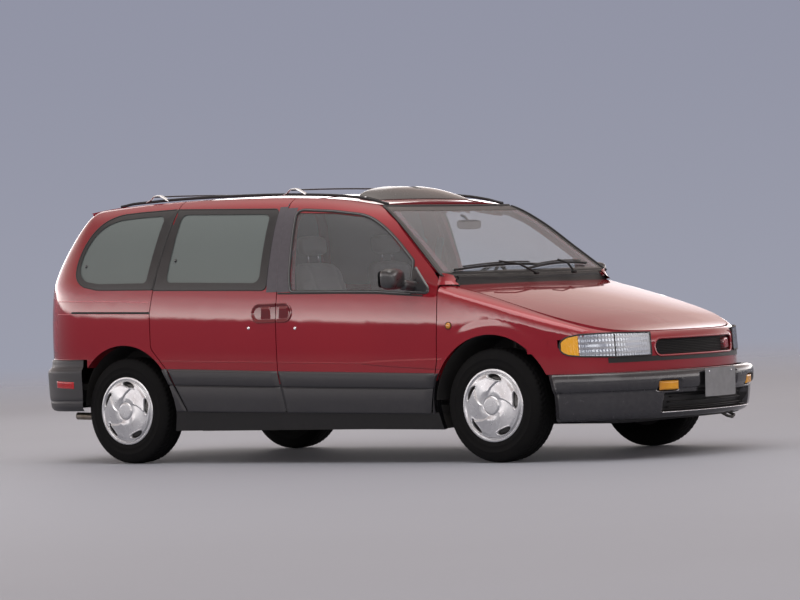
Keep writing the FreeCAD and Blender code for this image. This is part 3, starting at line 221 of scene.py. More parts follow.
def resample(path, step, closed=True):  # evenly spaced points along a polyline, step metres apart
    path = np.asarray(path, float)
    loop = np.vstack([path, path[:1]]) if closed else path
    size = np.linalg.norm(np.diff(loop, axis=0), axis=1)
    run = np.concatenate([[0], np.cumsum(size)])
    count = max(8, int(run[-1] / step))
    at = np.linspace(0, run[-1], count + (0 if closed else 1), endpoint=not closed)
    return np.stack([np.interp(at, run, loop[:, k]) for k in range(loop.shape[1])], -1)


# each point of the path plus a across it plus b along its normal, for each (a, b) of the section
def sweep(name, path, normals, section, material, owner, closed=True, flip=False):
    path, section = np.asarray(path, float), np.asarray(section, float)
    normals = unit(np.broadcast_to(np.asarray(normals, float), path.shape))
    if closed:
        tangent = unit(np.roll(path, -1, 0) - np.roll(path, 1, 0))
    else:
        tangent = unit(np.gradient(path, axis=0))
    across = unit(np.cross(tangent, normals))
    ring = path[:, None] + section[None, :, :1] * across[:, None] + section[None, :, 1:] * normals[:, None]
    nu, nv = ring.shape[:2]
    faces = gridFaces(nu, nv, closeU=closed, closeV=True, flip=flip)
    if not closed:
        caps = [list(range(nv)), list(range((nu - 1) * nv, nu * nv))[::-1]]
        faces = [list(f) for f in faces] + [c[::-1] if flip else c for c in caps]
    return addMesh(name, ring, faces, material, owner)


# a sweep on the right side, or its mirror image on the left
def sideSweep(name, path, normals, section, material, owner, sign, closed=True):
    return sweep(name, sided(path, sign), sided(normals, sign), section, material, owner, closed=closed,
                 flip=sign < 0)


def sidePatch(name, p, material, owner, sign):  # a grid of points on the right side, or its mirror image
    return addMesh(name, sided(p, sign), gridFaces(*p.shape[:2], flip=sign < 0), material, owner)


def roundSection(width, height, power=3.0, count=12, lift=0.0):  # superellipse |a/w|^p + |b/h|^p = 1
    t = np.arange(count) * 2 * math.pi / count
    a = signPower(np.cos(t), 2 / power) * width / 2
    b = signPower(np.sin(t), 2 / power) * height / 2
    return np.stack([a, b + lift], -1)


def tube(name, path, radius, material, owner, sides=10):  # circle of the radius carried along the path
    path = np.asarray(path, float)
    up = np.tile([0.02, 0.03, 1.0], (len(path), 1))
    tangent = unit(np.gradient(path, axis=0))
    side = unit(np.cross(tangent, up))
    t = np.arange(sides) * 2 * math.pi / sides
    radius = np.broadcast_to(radius, (len(path),))
    normal = unit(np.cross(side, tangent))
    ring = (path[:, None] + radius[:, None, None] * (np.cos(t)[None, :, None] * side[:, None]
                                                      + np.sin(t)[None, :, None] * normal[:, None]))
    nu = len(path)
    faces = [list(f) for f in gridFaces(nu, sides, closeV=True)]
    faces += [list(range(sides))[::-1], list(range((nu - 1) * sides, nu * sides))]
    return addMesh(name, ring, faces, material, owner)


def signPower(w, power):  # |w|^power with the sign of w
    return np.sign(w) * np.abs(w) ** power


def superBox(name, centre, size, power, material, owner, count=24):  # |x/a|^p + |y/b|^p + |z/c|^p = 1
    u = np.linspace(-math.pi / 2, math.pi / 2, count)
    v = np.linspace(-math.pi, math.pi, 2 * count, endpoint=False)
    uu, vv = np.meshgrid(u, v, indexing="ij")
    cu, su, cv, sv = (signPower(w, 2 / power) for w in (np.cos(uu), np.sin(uu), np.cos(vv), np.sin(vv)))
    p = np.stack([cu * cv, cu * sv, su], -1)
    p = p * np.array(size) / 2 + np.array(centre)
    obj = addMesh(name, p, gridFaces(count, 2 * count, closeV=True, flip=True), material, owner)
    mergeDoubles(obj)
    return obj


def mergeDoubles(obj, dist=1e-5):
    import bmesh
    bm = bmesh.new()
    bm.from_mesh(obj.data)
    bmesh.ops.remove_doubles(bm, verts=bm.verts, dist=dist)
    bmesh.ops.recalc_face_normals(bm, faces=bm.faces)
    bm.to_mesh(obj.data)
    bm.free()


def sided(p, sign):
    return p if sign > 0 else flipY(p)


# one shader node with its settings and input values or links
def nodeOf(tree, kind, values=None, **settings):
    made = tree.nodes.new("ShaderNode" + kind)
    for key, value in settings.items():
        setattr(made, key, value)
    for key, value in (values or {}).items():
        socket = made.inputs[key]
        if isinstance(value, bpy.types.NodeSocket):
            tree.links.new(value, socket)
        else:
            socket.default_value = value
    return made


def newGroup(name, inputs, outputs):  # empty shader node group with its sockets
    group = bpy.data.node_groups.new(name, "ShaderNodeTree")
    for label, kind, value in inputs:
        socket = group.interface.new_socket(label, in_out="INPUT", socket_type="NodeSocket" + kind)
        socket.default_value = value
    for label, kind in outputs:
        group.interface.new_socket(label, in_out="OUTPUT", socket_type="NodeSocket" + kind)
    start = group.nodes.new("NodeGroupInput")
    end = group.nodes.new("NodeGroupOutput")
    return group, start, end


def newMaterial(name):
    mat = bpy.data.materials.new(name)
    mat.use_nodes = True
    return mat, mat.node_tree, mat.node_tree.nodes["Principled BSDF"]


def mixColors(tree, share, first, second):  # first * (1 - share) + second * share
    return nodeOf(tree, "Mix", {0: share, 6: first, 7: second}, data_type="RGBA").outputs[2]


def mathNode(tree, operation, a, b=0.0, clamp=False):
    return nodeOf(tree, "Math", {0: a, 1: b}, operation=operation, use_clamp=clamp).outputs[0]


def stepNode(tree, value, low, high):  # 0 below low, 1 above high, smooth between them
    return nodeOf(tree, "MapRange", {0: value, 1: low, 2: high, 3: 0.0, 4: 1.0},
                  interpolation_type="SMOOTHSTEP").outputs[0]


def grainGroup():  # height = fine noise * (1 - coarse) + wide noise * coarse
    group, start, end = newGroup("fineGrain", [("Scale", "Float", 400.0), ("Coarse", "Float", 0.3)],
                                 [("Height", "Float"), ("Patch", "Float")])
    place = nodeOf(group, "TexCoord").outputs["Object"]
    fine = nodeOf(group, "TexNoise", {"Vector": place, "Scale": start.outputs["Scale"], "Detail": 3.0,
                                      "Roughness": 0.6})
    wideScale = mathNode(group, "MULTIPLY", start.outputs["Scale"], 0.04)
    wide = nodeOf(group, "TexNoise", {"Vector": place, "Scale": wideScale, "Detail": 4.0})
    mixed = nodeOf(group, "Mix", {0: start.outputs["Coarse"], 2: fine.outputs[0], 3: wide.outputs[0]},
                   data_type="FLOAT")
    group.links.new(mixed.outputs[0], end.inputs["Height"])
    group.links.new(wide.outputs[0], end.inputs["Patch"])
    return group


def dustGroup():  # mask = low places * cloudy noise
    group, start, end = newGroup("roadDust", [("Top", "Float", 0.45), ("Amount", "Float", 0.3)],
                                 [("Mask", "Float")])
    place = nodeOf(group, "TexCoord").outputs["Object"]
    height = nodeOf(group, "SeparateXYZ", {0: place}).outputs[2]
    low = nodeOf(group, "MapRange", {0: height, 1: 0.05, 2: start.outputs["Top"], 3: 1.0, 4: 0.0})
    cloud = nodeOf(group, "TexNoise", {"Vector": place, "Scale": 9.0, "Detail": 6.0, "Roughness": 0.65})
    soft = stepNode(group, cloud.outputs[0], 0.35, 0.75)
    mask = mathNode(group, "MULTIPLY", mathNode(group, "MULTIPLY", low.outputs[0], soft),
                    start.outputs["Amount"])
    group.links.new(mask, end.inputs["Mask"])
    return group


def weaveGroup():  # height = max of two crossed rib waves in the piece's own place
    group, start, end = newGroup("clothWeave", [("Scale", "Float", 260.0), ("Mix", "Float", 0.5)],
                                 [("Height", "Float"), ("Shade", "Float")])
    place = nodeOf(group, "TexCoord").outputs["Object"]
    ribs = [nodeOf(group, "TexWave", {"Vector": place, "Scale": start.outputs["Scale"], "Distortion": 0.6},
                   bands_direction=d).outputs[1] for d in ("X", "Z")]
    top = mathNode(group, "MAXIMUM", ribs[0], ribs[1])
    cloud = nodeOf(group, "TexNoise", {"Vector": place, "Scale": 14.0, "Detail": 3.0}).outputs[0]
    mixed = nodeOf(group, "Mix", {0: start.outputs["Mix"], 2: top, 3: cloud}, data_type="FLOAT")
    group.links.new(top, end.inputs["Height"])
    group.links.new(mixed.outputs[0], end.inputs["Shade"])
    return group


# pressed forms of the bodywork: raised lips round the arches and a spear on the front door
def formGroup():
    group, start, end = newGroup("pressedForms", [("Lip", "Float", 0.0005), ("Spear", "Float", 0.003)],
                                 [("Height", "Float"), ("Side", "Float")])
    place = nodeOf(group, "SeparateXYZ", {0: nodeOf(group, "TexCoord").outputs["Object"]})
    x, y, z = place.outputs
    total = None
    for axle, reach in ((body["frontAxle"], 0.505), (body["rearAxle"], 0.455)):
        dx = mathNode(group, "SUBTRACT", x, axle)
        dz = mathNode(group, "SUBTRACT", z, body["hubZ"])
        far = mathNode(group, "SQRT", mathNode(group, "ADD", mathNode(group, "MULTIPLY", dx, dx),
                                               mathNode(group, "MULTIPLY", dz, dz)))
        lip = mathNode(group, "SUBTRACT", 1.0, stepNode(group, far, reach - 0.045, reach))
        total = lip if total is None else mathNode(group, "ADD", total, lip)
    lips = mathNode(group, "MULTIPLY", total, start.outputs["Lip"])
    run = mathNode(group, "SUBTRACT", x, 0.47)
    middle = mathNode(group, "ABSOLUTE", mathNode(group, "SUBTRACT", mathNode(group, "SUBTRACT", z, 0.601),
                                                  mathNode(group, "MULTIPLY", run, -0.028)))
    half = mathNode(group, "MULTIPLY", mathNode(group, "POWER", mathNode(group, "MAXIMUM", run, 0.0), 0.6),
                    0.043)
    inside = stepNode(group, mathNode(group, "SUBTRACT", half, middle), -0.004, 0.004)
    ahead = mathNode(group, "SUBTRACT", 1.0, stepNode(group, x, 1.05, 1.07))
    spear = mathNode(group, "MULTIPLY", mathNode(group, "MULTIPLY", inside, ahead), start.outputs["Spear"])
    group.links.new(mathNode(group, "ADD", lips, spear), end.inputs["Height"])
    side = stepNode(group, mathNode(group, "ABSOLUTE", y), 0.72, 0.8)
    group.links.new(side, end.inputs["Side"])
    return group


fineGrain, roadDust, clothWeave, pressedForms = grainGroup(), dustGroup(), weaveGroup(), formGroup()


def groupIn(tree, group, **values):
    made = tree.nodes.new("ShaderNodeGroup")
    made.node_tree = group
    for key, value in values.items():
        made.inputs[key].default_value = value
    return made


# colour mixed with a second by cloudy noise, roughness from the same noise, fine grain as bump
def finish(name, color, second, rough=0.5, roughSpread=0.1, bump=0.0002, scale=400.0, dust=0.0, **sockets):
    mat, tree, shader = newMaterial(name)
    grain = groupIn(tree, fineGrain, Scale=scale)
    mixed = mixColors(tree, stepNode(tree, grain.outputs["Patch"], 0.3, 0.7), (*color, 1), (*second, 1))
    if dust:
        mask = groupIn(tree, roadDust, Amount=dust)
        mixed = mixColors(tree, mask.outputs[0], mixed, (*tones["dust"], 1))
    tree.links.new(mixed, shader.inputs["Base Color"])
    roughness = nodeOf(tree, "MapRange", {0: grain.outputs["Patch"], 1: 0.2, 2: 0.8,
                                          3: rough - roughSpread / 2,
                                          4: rough + roughSpread / 2})
    tree.links.new(roughness.outputs[0], shader.inputs["Roughness"])
    if bump:
        bumped = nodeOf(tree, "Bump", {"Height": grain.outputs["Height"], "Strength": 1.0, "Distance": bump})
        tree.links.new(bumped.outputs[0], shader.inputs["Normal"])
    for key, value in sockets.items():
        shader.inputs[key.replace("_", " ")].default_value = value
    return mat


# clear coat over fine flake; the pressed forms come as bump
def paintFinish(name, deep, light, forms=True):
    mat, tree, shader = newMaterial(name)
    place = nodeOf(tree, "TexCoord").outputs["Object"]
    flake = nodeOf(tree, "TexVoronoi", {"Vector": place, "Scale": 900.0})
    cloud = nodeOf(tree, "TexNoise", {"Vector": place, "Scale": 1.3, "Detail": 2.0})
    share = mathNode(tree, "ADD", mathNode(tree, "MULTIPLY", flake.outputs["Distance"], 0.35),
                     mathNode(tree, "MULTIPLY", cloud.outputs[0], 0.4), clamp=True)
    shade = mixColors(tree, share, (*deep, 1), (*light, 1))
    level = nodeOf(tree, "SeparateXYZ", {0: place}).outputs[2]
    upper = stepNode(tree, level, .486 - shiftZ, .490 - shiftZ)
    tree.links.new(mixColors(tree, upper, (.010, .010, .012, 1), shade),
                   shader.inputs["Base Color"])
    ripple = nodeOf(tree, "TexNoise", {"Vector": place, "Scale": 55.0, "Detail": 2.0})
    height = mathNode(tree, "MULTIPLY", ripple.outputs[0], 0.00002)
    if forms:
        shapes = groupIn(tree, pressedForms)
        height = mathNode(tree, "ADD", height, mathNode(tree, "MULTIPLY", shapes.outputs[0],
                                                        shapes.outputs[1]))
    bumped = nodeOf(tree, "Bump", {"Height": height, "Strength": 1.0, "Distance": 1.0})
    tree.links.new(bumped.outputs[0], shader.inputs["Normal"])
    tree.links.new(bumped.outputs[0], shader.inputs["Coat Normal"])
    dull = nodeOf(tree, "MapRange", {0: cloud.outputs[0], 1: 0.3, 2: 0.7, 3: 0.42, 4: 0.50})
    tree.links.new(dull.outputs[0], shader.inputs["Roughness"])
    shader.inputs["Coat Weight"].default_value = 1.0
    shader.inputs["Coat Roughness"].default_value = 0.035
    shader.inputs["Coat IOR"].default_value = 1.6
    shader.inputs["Specular IOR Level"].default_value = 0.1
    shader.inputs["Metallic"].default_value = 0.5
    return mat


# clear glass transmits; tinted glass shows its own shade through alpha
def glassFinish(name, tint, rough=0.0, clear=0.95, alpha=1.0):
    mat, tree, shader = newMaterial(name)
    place = nodeOf(tree, "TexCoord").outputs["Object"]
    cloud = nodeOf(tree, "TexNoise", {"Vector": place, "Scale": 3.0, "Detail": 4.0})
    tree.links.new(mixColors(tree, cloud.outputs[0], (*tint, 1), (*(c * 0.93 for c in tint), 1)),
                   shader.inputs["Base Color"])
    tree.links.new(nodeOf(tree, "MapRange", {0: cloud.outputs[0], 1: 0.3, 2: 0.8, 3: rough,
                                             4: rough + 0.006}).outputs[0],
                   shader.inputs["Roughness"])
    shader.inputs["Transmission Weight"].default_value = clear
    shader.inputs["IOR"].default_value = 1.45
    shader.inputs["Alpha"].default_value = alpha
    return mat


tones = {"dust": (.30, .28, .25), "paintDeep": (.17, .003, .012), "paintLight": (.31, .012, .018),
         "cladding": (.020, .020, .024),
         "bumper": (.018, .018, .022), "amber": (.75, .36, .01)}
mats = {
    "body_paint": paintFinish("bodyPaint", tones["paintDeep"], tones["paintLight"]),
    "cladding": finish("claddingPlastic", tones["cladding"], (.023, .023, .027), rough=0.45, bump=0.00012,
                       scale=900.0,
                       dust=0.05, Specular_IOR_Level=0.5),
    "bumper_plastic": finish("bumperPlastic", tones["bumper"], (.022, .022, .026), rough=0.24, bump=0.00006,
                             scale=900.0,
                             dust=0.04, Coat_Weight=0.35, Coat_Roughness=0.12),
    "underbody_black": finish("underCoat", (.012, .012, .013), (.02, .019, .018), rough=0.8, bump=0.0012,
                              scale=160.0, dust=0.3),
    "black_trim": finish("blackTrim", (.008, .008, .009), (.011, .011, .012), rough=0.5, bump=0.00008,
                         scale=1100.0,
                         Specular_IOR_Level=0.3),
    "gloss_black": finish("glossBlack", (.010, .010, .012), (.012, .012, .014), rough=0.16, bump=0.0,
                          Coat_Weight=0.5),
    "rubber": finish("sealRubber", (.012, .012, .013), (.017, .017, .018), rough=0.62, bump=0.0001,
                     scale=700.0),
    "tyre_rubber": finish("tyreRubber", (.0035, .0035, .004), (.005, .005, .0052), rough=0.8, bump=0.0002,
                          scale=500.0, dust=0.0,
                          Specular_IOR_Level=0.12),
    "rim_silver": finish("wheelSilver", (.58, .59, .61), (.52, .53, .55), rough=0.30, bump=0.00003,
                         scale=1500.0, Metallic=0.85,
                         Coat_Weight=0.6, Coat_Roughness=0.08),
    "rim_dark": finish("wheelSteel", (.03, .03, .032), (.05, .048, .045), rough=0.6, bump=0.0002,
                       scale=400.0, Metallic=0.6),
    "cast_metal": finish("castIron", (.10, .10, .10), (.15, .12, .10), rough=0.7, bump=0.0006, scale=220.0,
                         Metallic=0.7),
    "chassis_steel": finish("chassisPaint", (.016, .016, .017), (.03, .028, .026), rough=0.6, bump=0.0003,
                            scale=300.0, dust=0.25),
    "exhaust_steel": finish("exhaustSteel", (.36, .34, .31), (.22, .18, .14), rough=0.45, bump=0.0003,
                            scale=250.0, Metallic=1.0),
    "rack_black": finish("rackPaint", (.012, .012, .014), (.016, .016, .018), rough=0.5, bump=0.00004,
                         scale=900.0,
                         Specular_IOR_Level=0.3),
    "bright": finish("brightAlloy", (.72, .73, .75), (.62, .63, .65), rough=0.24, bump=0.00003,
                     scale=1200.0, Metallic=1.0),
    "dash_plastic": finish("dashPlastic", (.10, .10, .11), (.085, .085, .092), rough=0.6, bump=0.0003,
                           scale=600.0),
    "liner": finish("roofLiner", (.42, .42, .42), (.38, .38, .38), rough=0.9, bump=0.0004, scale=500.0,
                    Sheen_Weight=0.3),
    "plate": finish("blankPlate", (.17, .175, .185), (.15, .155, .165), rough=0.5, bump=0.00004, scale=700.0),
    "red_lens": finish("redLens", (.55, .008, .012), (.42, .006, .01), rough=0.12, bump=0.0,
                       Coat_Weight=1.0, Coat_Roughness=0.03,
                       Transmission_Weight=0.25),
    "amber_lens": finish("amberLens", tones["amber"], (.45, .17, .005), rough=0.14, bump=0.0005, scale=70.0,
                         Coat_Weight=0.6,
                         Coat_Roughness=0.05),
    "frit": finish("printedBorder", (.010, .011, .013), (.013, .014, .016), rough=0.35, bump=0.0,
                   Coat_Weight=0.35, Coat_Roughness=0.05),
    "post": finish("postFilm", (.060, .055, .066), (.052, .048, .058), rough=0.42, bump=0.00004, scale=900.0),
    # light grey line on the door seal: painted highlight along the rubber's edge
    "edge": finish("sealEdgeHighlight", (.20, .205, .215), (.16, .165, .175), rough=0.35, bump=0.0),
    "mirrorBlack": finish("mirrorBlack", (.018, .018, .020), (.022, .022, .024), rough=0.30, bump=0.00003,
                          scale=1200.0,
                          Coat_Weight=0.4, Coat_Roughness=0.10),
    "deflector": finish("smokedPanel", (.012, .013, .015), (.010, .011, .013), rough=0.24, bump=0.0,
                        Coat_Weight=0.6,
                        Coat_Roughness=0.06),
    "paintEdge": finish("stripeEdge", (.62, .20, .22), (.50, .12, .15), rough=0.3, bump=0.0),
    "clear_glass": glassFinish("clearGlass", (.93, .95, .95)),
    "tinted_glass": glassFinish("tintedGlass", (.135, .160, .158), rough=.05, clear=0.0, alpha=.86),
    "lamp_lens": glassFinish("lampLens", (.97, .98, .98), clear=1.0),
    # the reflector's colour runs between bright and dark patches: painted reflections on the chrome
    "reflector": finish("lampReflector", (.95, .95, .96), (.45, .46, .49), rough=0.16, bump=0.0001,
                        scale=60.0, Metallic=0.7),
    "mirror_glass": finish("mirrorGlass", (.82, .84, .86), (.8, .82, .84), rough=0.03, bump=0.0,
                           roughSpread=0.01, Metallic=1.0),
}


def clothFinish(name, color, second):  # woven ribs as bump, cloudy shade between two yarns, sheen
    mat, tree, shader = newMaterial(name)
    weave = groupIn(tree, clothWeave, Scale=180.0)
    tree.links.new(mixColors(tree, weave.outputs["Shade"], (*color, 1), (*second, 1)),
                   shader.inputs["Base Color"])
    tree.links.new(nodeOf(tree, "Bump", {"Height": weave.outputs["Height"], "Strength": 0.8,
                                         "Distance": 0.0008}).outputs[0],
                   shader.inputs["Normal"])
    shader.inputs["Roughness"].default_value = 0.92
    shader.inputs["Sheen Weight"].default_value = 0.4
    return mat


# darker copy of the body paint for the handle cups: painted shade in the recess
mats["cupShadedPaint"] = paintFinish("cupShadedPaint", (.10, .002, .006), (.17, .005, .010), forms=False)
mats["seat_cloth"] = clothFinish("seatCloth", (.40, .40, .39), (.30, .30, .30))
mats["belt"] = clothFinish("beltWebbing", (.10, .10, .10), (.07, .07, .07))
slotFinish = {"grille_red": mats["body_paint"]}
for part in frame["record"]["subparts"]:
    obj = nodes[part["node"]]
    obj.data.materials.clear()
    obj.data.materials.append(mats.get(part["material_slot"]) or slotFinish[part["material_slot"]])


wheel = {"coverR": 0.2175, "coverY": 0.113, "slots": 5, "slotAngle": 9.3,
         "slotR": 0.154, "grooves": (-.052, -.019, .019, .052), "blocks": 64}


def smoothStep(a, b, x):  # t^2 (3 - 2t), t from a to b
    t = np.clip((x - a) / (b - a), 0, 1)
    return t * t * (3 - 2 * t)


def setLayer(obj, name, values):  # one number for each point, read by the material
    layer = obj.data.attributes.new(name, "FLOAT", "POINT")
    layer.data.foreach_set("value", np.asarray(values, np.float32).ravel())


def tyreMesh(name, centre, sign, owner):  # section carried round: radius less grooves cut by y and by angle
    outer = [(.1985, -.080), (.2005, -.088), (.206, -.0925), (.214, -.0955), (.226, -.0985), (.236, -.1003),
             (.240, -.1015), (.243, -.1003), (.256, -.1012), (.268, -.1008), (.271, -.1020), (.275, -.1022),
             (.279, -.1003), (.292, -.0975), (.304, -.0930), (.313, -.0890), (.321, -.0842), (.327, -.0790),
             (.3315, -.0725)]
    tread = [(.336 - 0.0035 * (abs(y) / .07) ** 3, y) for y in np.linspace(-.068, .068, 41)]
    inner = [(r, -y) for r, y in outer[::-1]]
    well = [(.1985, .05), (.1985, -.05)]
    section = np.array(outer + tread + inner + well)
    count = 320
    angle = np.arange(count) * 2 * math.pi / count
    r = np.repeat(section[None, :, 0], count, 0)
    y = section[None, :, 1]
    high = smoothStep(.325, .3315, r)
    for g in wheel["grooves"]:
        r = r - 0.0075 * high * np.exp(-((y - g) / .0030) ** 4)
    bend = angle[:, None] * wheel["blocks"] / 2 + np.abs(y) * 55
    cuts = smoothStep(.55, .85, np.cos(bend * 2)) * smoothStep(.024, .034, np.abs(y))
    r = r - 0.005 * high * cuts
    fine = smoothStep(.75, .95, np.cos(angle[:, None] * wheel["blocks"] + y * 60)) * (np.abs(y) < .016)
    r = r - 0.003 * high * fine
    rib = smoothStep(.313, .318, r) * (1 - smoothStep(.3255, .3290, r))
    r = r - 0.0016 * rib * smoothStep(.2, .7, np.cos(angle[:, None] * wheel["blocks"]))
    ring = np.stack([centre[0] + r * np.cos(angle)[:, None], centre[1] + sign * (y + 0 * r),
                     centre[2] + r * np.sin(angle)[:, None]], -1)
    return addMesh(name, ring, gridFaces(count, len(section), closeU=True, closeV=True, flip=sign < 0),
                   mats["tyre_rubber"], owner)


# polar grid: dome + five saw-tooth blades twisted with the radius - slots
def coverMesh(name, centre, sign, owner):
    radii = np.concatenate([np.linspace(0.0015, .046, 12), np.linspace(.0475, .055, 6),
                            np.linspace(.057, .130, 22),
                            np.linspace(.132, .172, 26), np.linspace(.1735, .197, 14)])
    count = 400
    angle = np.arange(count) * 2 * math.pi / count
    r, a = np.meshgrid(radii, angle, indexing="xy")
    turn = 2 * math.pi / wheel["slots"]
    start = math.radians(wheel["slotAngle"])
    away = ((a - start + turn / 2) % turn) - turn / 2
    swirl = math.radians(46) * smoothStep(.04, .16, r) ** 0.8
    saw = ((a - start + swirl - math.radians(30)) % turn) / turn
    blade = (1 - saw) ** 1.3 * smoothStep(0, .045, saw)
    span = smoothStep(.052, .085, r) * (1 - smoothStep(.148, .166, r))
    height = 0.014 * (1 - (r / .197) ** 2) - 0.010 * smoothStep(.168, .176, r) + 0.011 * blade * span
    height = height + 0.007 * smoothStep(.176, .184, r) * (1 - smoothStep(.1935, .197, r))
    height = height - .016 * smoothStep(.1935, .197, r)
    height = height - 0.004 * np.exp(-((r - .0505) / .0022) ** 2) + 0.003 * (1 - smoothStep(.044, .0475, r))
    height = height - 0.0025 * np.exp(-((r - .1735) / .0020) ** 2)
    lean = r - wheel["slotR"] - 0.010 * away / turn * 2
    slot = np.sqrt((lean / .0150) ** 2 + (away / math.radians(17.5)) ** 2)
    hole = 1 - smoothStep(.80, 1.02, slot)
    edge = np.exp(-((slot - 1.12) / .12) ** 2)
    height = height - 0.024 * hole + 0.0012 * edge
    wide = wheel["coverR"] / .197
    p = np.stack([centre[0] + wide * r * np.cos(a), centre[1] - sign * (wheel["coverY"] - .012 + height),
                  centre[2] + wide * r * np.sin(a)], -1)
    middle = np.array([[centre[0], centre[1] - sign * (wheel["coverY"] - .012 + .017), centre[2]]])
    verts = np.concatenate([p.reshape(-1, 3), middle])
    nu, nv = r.shape
    faces = [list(f) for f in gridFaces(nu, nv, closeU=True, flip=sign > 0)]
    hub = [[k * nv, ((k + 1) % nu) * nv, nu * nv] for k in range(nu)]
    faces += hub if sign < 0 else [f[::-1] for f in hub]
    obj = addMesh(name, verts, faces, mats["coverSilver"], owner)
    # the slot share also tells the material where the painted shade of the openings goes
    setLayer(obj, "slot", np.concatenate([hole.ravel(), [0]]))
    return obj


def coverFinish():  # wheel silver, near-black where the slots are: painted shade of the openings, with the dark wheel seen behind them
    mat = mats["rim_silver"].copy()
    mat.name = "coverSilver"
    tree = mat.node_tree
    shader = tree.nodes["Principled BSDF"]
    slot = nodeOf(tree, "Attribute", attribute_name="slot")
    dark = stepNode(tree, slot.outputs["Fac"], 0.25, 0.7)
    old = shader.inputs["Base Color"].links[0].from_socket
    tree.links.new(mixColors(tree, dark, old, (.006, .006, .006, 1)), shader.inputs["Base Color"])
    tree.links.new(nodeOf(tree, "MapRange", {0: dark, 3: 0.85, 4: 0.0}).outputs[0], shader.inputs["Metallic"])
    return mat


mats["coverSilver"] = coverFinish()
for end, x in (("front", body["frontAxle"]), ("rear", body["rearAxle"])):
    for side, sign in sides:
        centre = (x, -sign * body["wheelY"], body["hubZ"])
        owner = "wheel_%s_%s" % (end, side)
        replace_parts(tyreMesh("tyre%s%s" % (end.title(), side.title()), centre, sign, owner),
                    "tyre_%s_%s" % (end, side))
        coverMesh("wheelCover%s%s" % (end.title(), side.title()), centre, sign, owner)
        stem = [(x + r * math.cos(2.2), centre[1] - sign * y, body["hubZ"] + r * math.sin(2.2))
                for r, y in ((.16, .09), (.162, .1))]
        tube("valve%s%s" % (end.title(), side.title()), stem, 0.0035, mats["rubber"], owner)
        nodes["rim_%s_%s" % (end, side)].data.materials[0] = mats["rim_dark"]
print("wheels")

cladding = {"top": [(-1.6, .607), (-1.085, .596), (-.183, .567), (.986, .533), (1.2, .527)],
            "bottom": [(-1.6, .345), (-.933, .323), (-.135, .308), (.958, .290), (1.2, .286)]}
claddingSection = np.array([(0.0, -.010), (0.004, .004), (.02, .0125), (.05, .0135), (.30, .0145),
                            (.585, .0165), (.600, .0150), (.612, .0085), (.628, .0085), (.640, .0175),
                            (.66, .0195), (.80, .0215), (.92, .0210), (.955, .0185), (.985, .0120),
                            (1.0, .002), (1.0, -.010)])


# strip between two lines (z, x), its section's (share of height, offset) laid outside the body's side
def claddingPiece(name, left, right, owner, sign, stationCount=40):
    s = np.linspace(0, 1, stationCount)
    t = claddingSection[:, 0]
    z = np.zeros((stationCount, len(t)))
    x = np.zeros_like(z)
    zz = 0.45 + 0 * z
    for _ in range(3):
        x = along(left, zz) + (along(right, zz) - along(left, zz)) * s[:, None]
        z0, z1 = along(cladding["bottom"], x), along(cladding["top"], x)
        zz = z0 + (z1 - z0) * t[None]
    y = sideAt(x, zz)
    out = np.array(claddingSection[:, 1])[None] * np.ones_like(y)
    ends = np.minimum(s[:, None], 1 - s[:, None]) * np.abs(x[-1:] - x[:1])
    out = np.where(out > 0, out * np.clip(ends / .004, 0, 1) ** 0.4, out)
    p = np.stack([x, y - out, zz], -1)
    sidePatch(name, p, mats["cladding"], owner, sign)


def archHalf(z):  # half width of a wheel arch at a height
    return math.sqrt(body["archR"] ** 2 - (z - body["hubZ"]) ** 2)


# ends of the cladding pieces, as (z, x) pairs
doorFront = [(.25, .955), (.30, .963), (.60, 1.025)]
doorRear = [(.25, -.128), (.33, -.134), (.56, -.176)]
sliderFront = [(.25, -.136), (.33, -.142), (.56, -.184)]
sliderRear = [(.25, -.900), (.33, -.934), (.58, -1.066), (.62, -1.085)]
archRear = [(z, -1.440 + archHalf(z)) for z in (.25, .336, .42, .50, .56, .60, .65)]
fenderBack = [(.25, .974), (.30, .981), (.42, .999), (.60, 1.035)]
archFront = [(z, 1.406 - archHalf(z)) for z in (.25, .336, .42, .50, .56, .60)]
for side, sign in sides:
    claddingPiece("doorCladding" + side.title(), doorRear, doorFront, "front_door_" + side, sign)
    claddingPiece("middleCladding" + side.title(), sliderRear, sliderFront, "body", sign)
    claddingPiece("fenderCladding" + side.title(), fenderBack, archFront, "body", sign, 10)
    claddingPiece("quarterCladding" + side.title(), archRear, [(z, x - .006) for z, x in sliderRear],
                  "body", sign, 8)
print("cladding")

frontBumper = {"end": 2.4105, "start": 1.408, "half": 0.9345, "power": 3.15, "root": .447, "arch": .452,
               "intake": 0.47, "lampY": 0.436, "lampZ": 0.418}
frontSection = [(.508, .060), (.5065, .030), (.503, .016), (.497, .009), (.489, .0045), (.478, .0015),
                (.462, 0), (.44, 0), (.425, .0015), (.412, .005), (.403, .011), (.397, .020), (.392, .024),
                (.386, .0245), (.37, .025), (.35, .0265), (.33, .0285), (.31, .031), (.29, .035),
                (.275, .039), (.262, .045), (.25, .054), (.240, .066), (.232, .085), (.230, .11)]


def bumperPoint(q, z, inset, shape):  # plan curve of a bumper, pulled in by inset
    t, f = roundEnd(q, shape["power"], shape["root"])
    reach = shape["end"] - shape["start"]
    x = shape["start"] + t * (reach - np.sign(reach) * inset)
    return np.stack([x + 0 * z, -(shape["half"] - inset * 0.6) * f, z + 0 * x], -1)


def sectionGrid(q, section, count):  # the section's (z, inset) pairs cut finer, repeated at each q
    at = np.linspace(0, len(section) - 1, count)
    z, inset = (np.interp(at, np.arange(len(section)), column) for column in zip(*section))
    qq, zz = np.meshgrid(q, z, indexing="ij")
    return qq, zz, np.repeat(inset[None], len(q), 0)


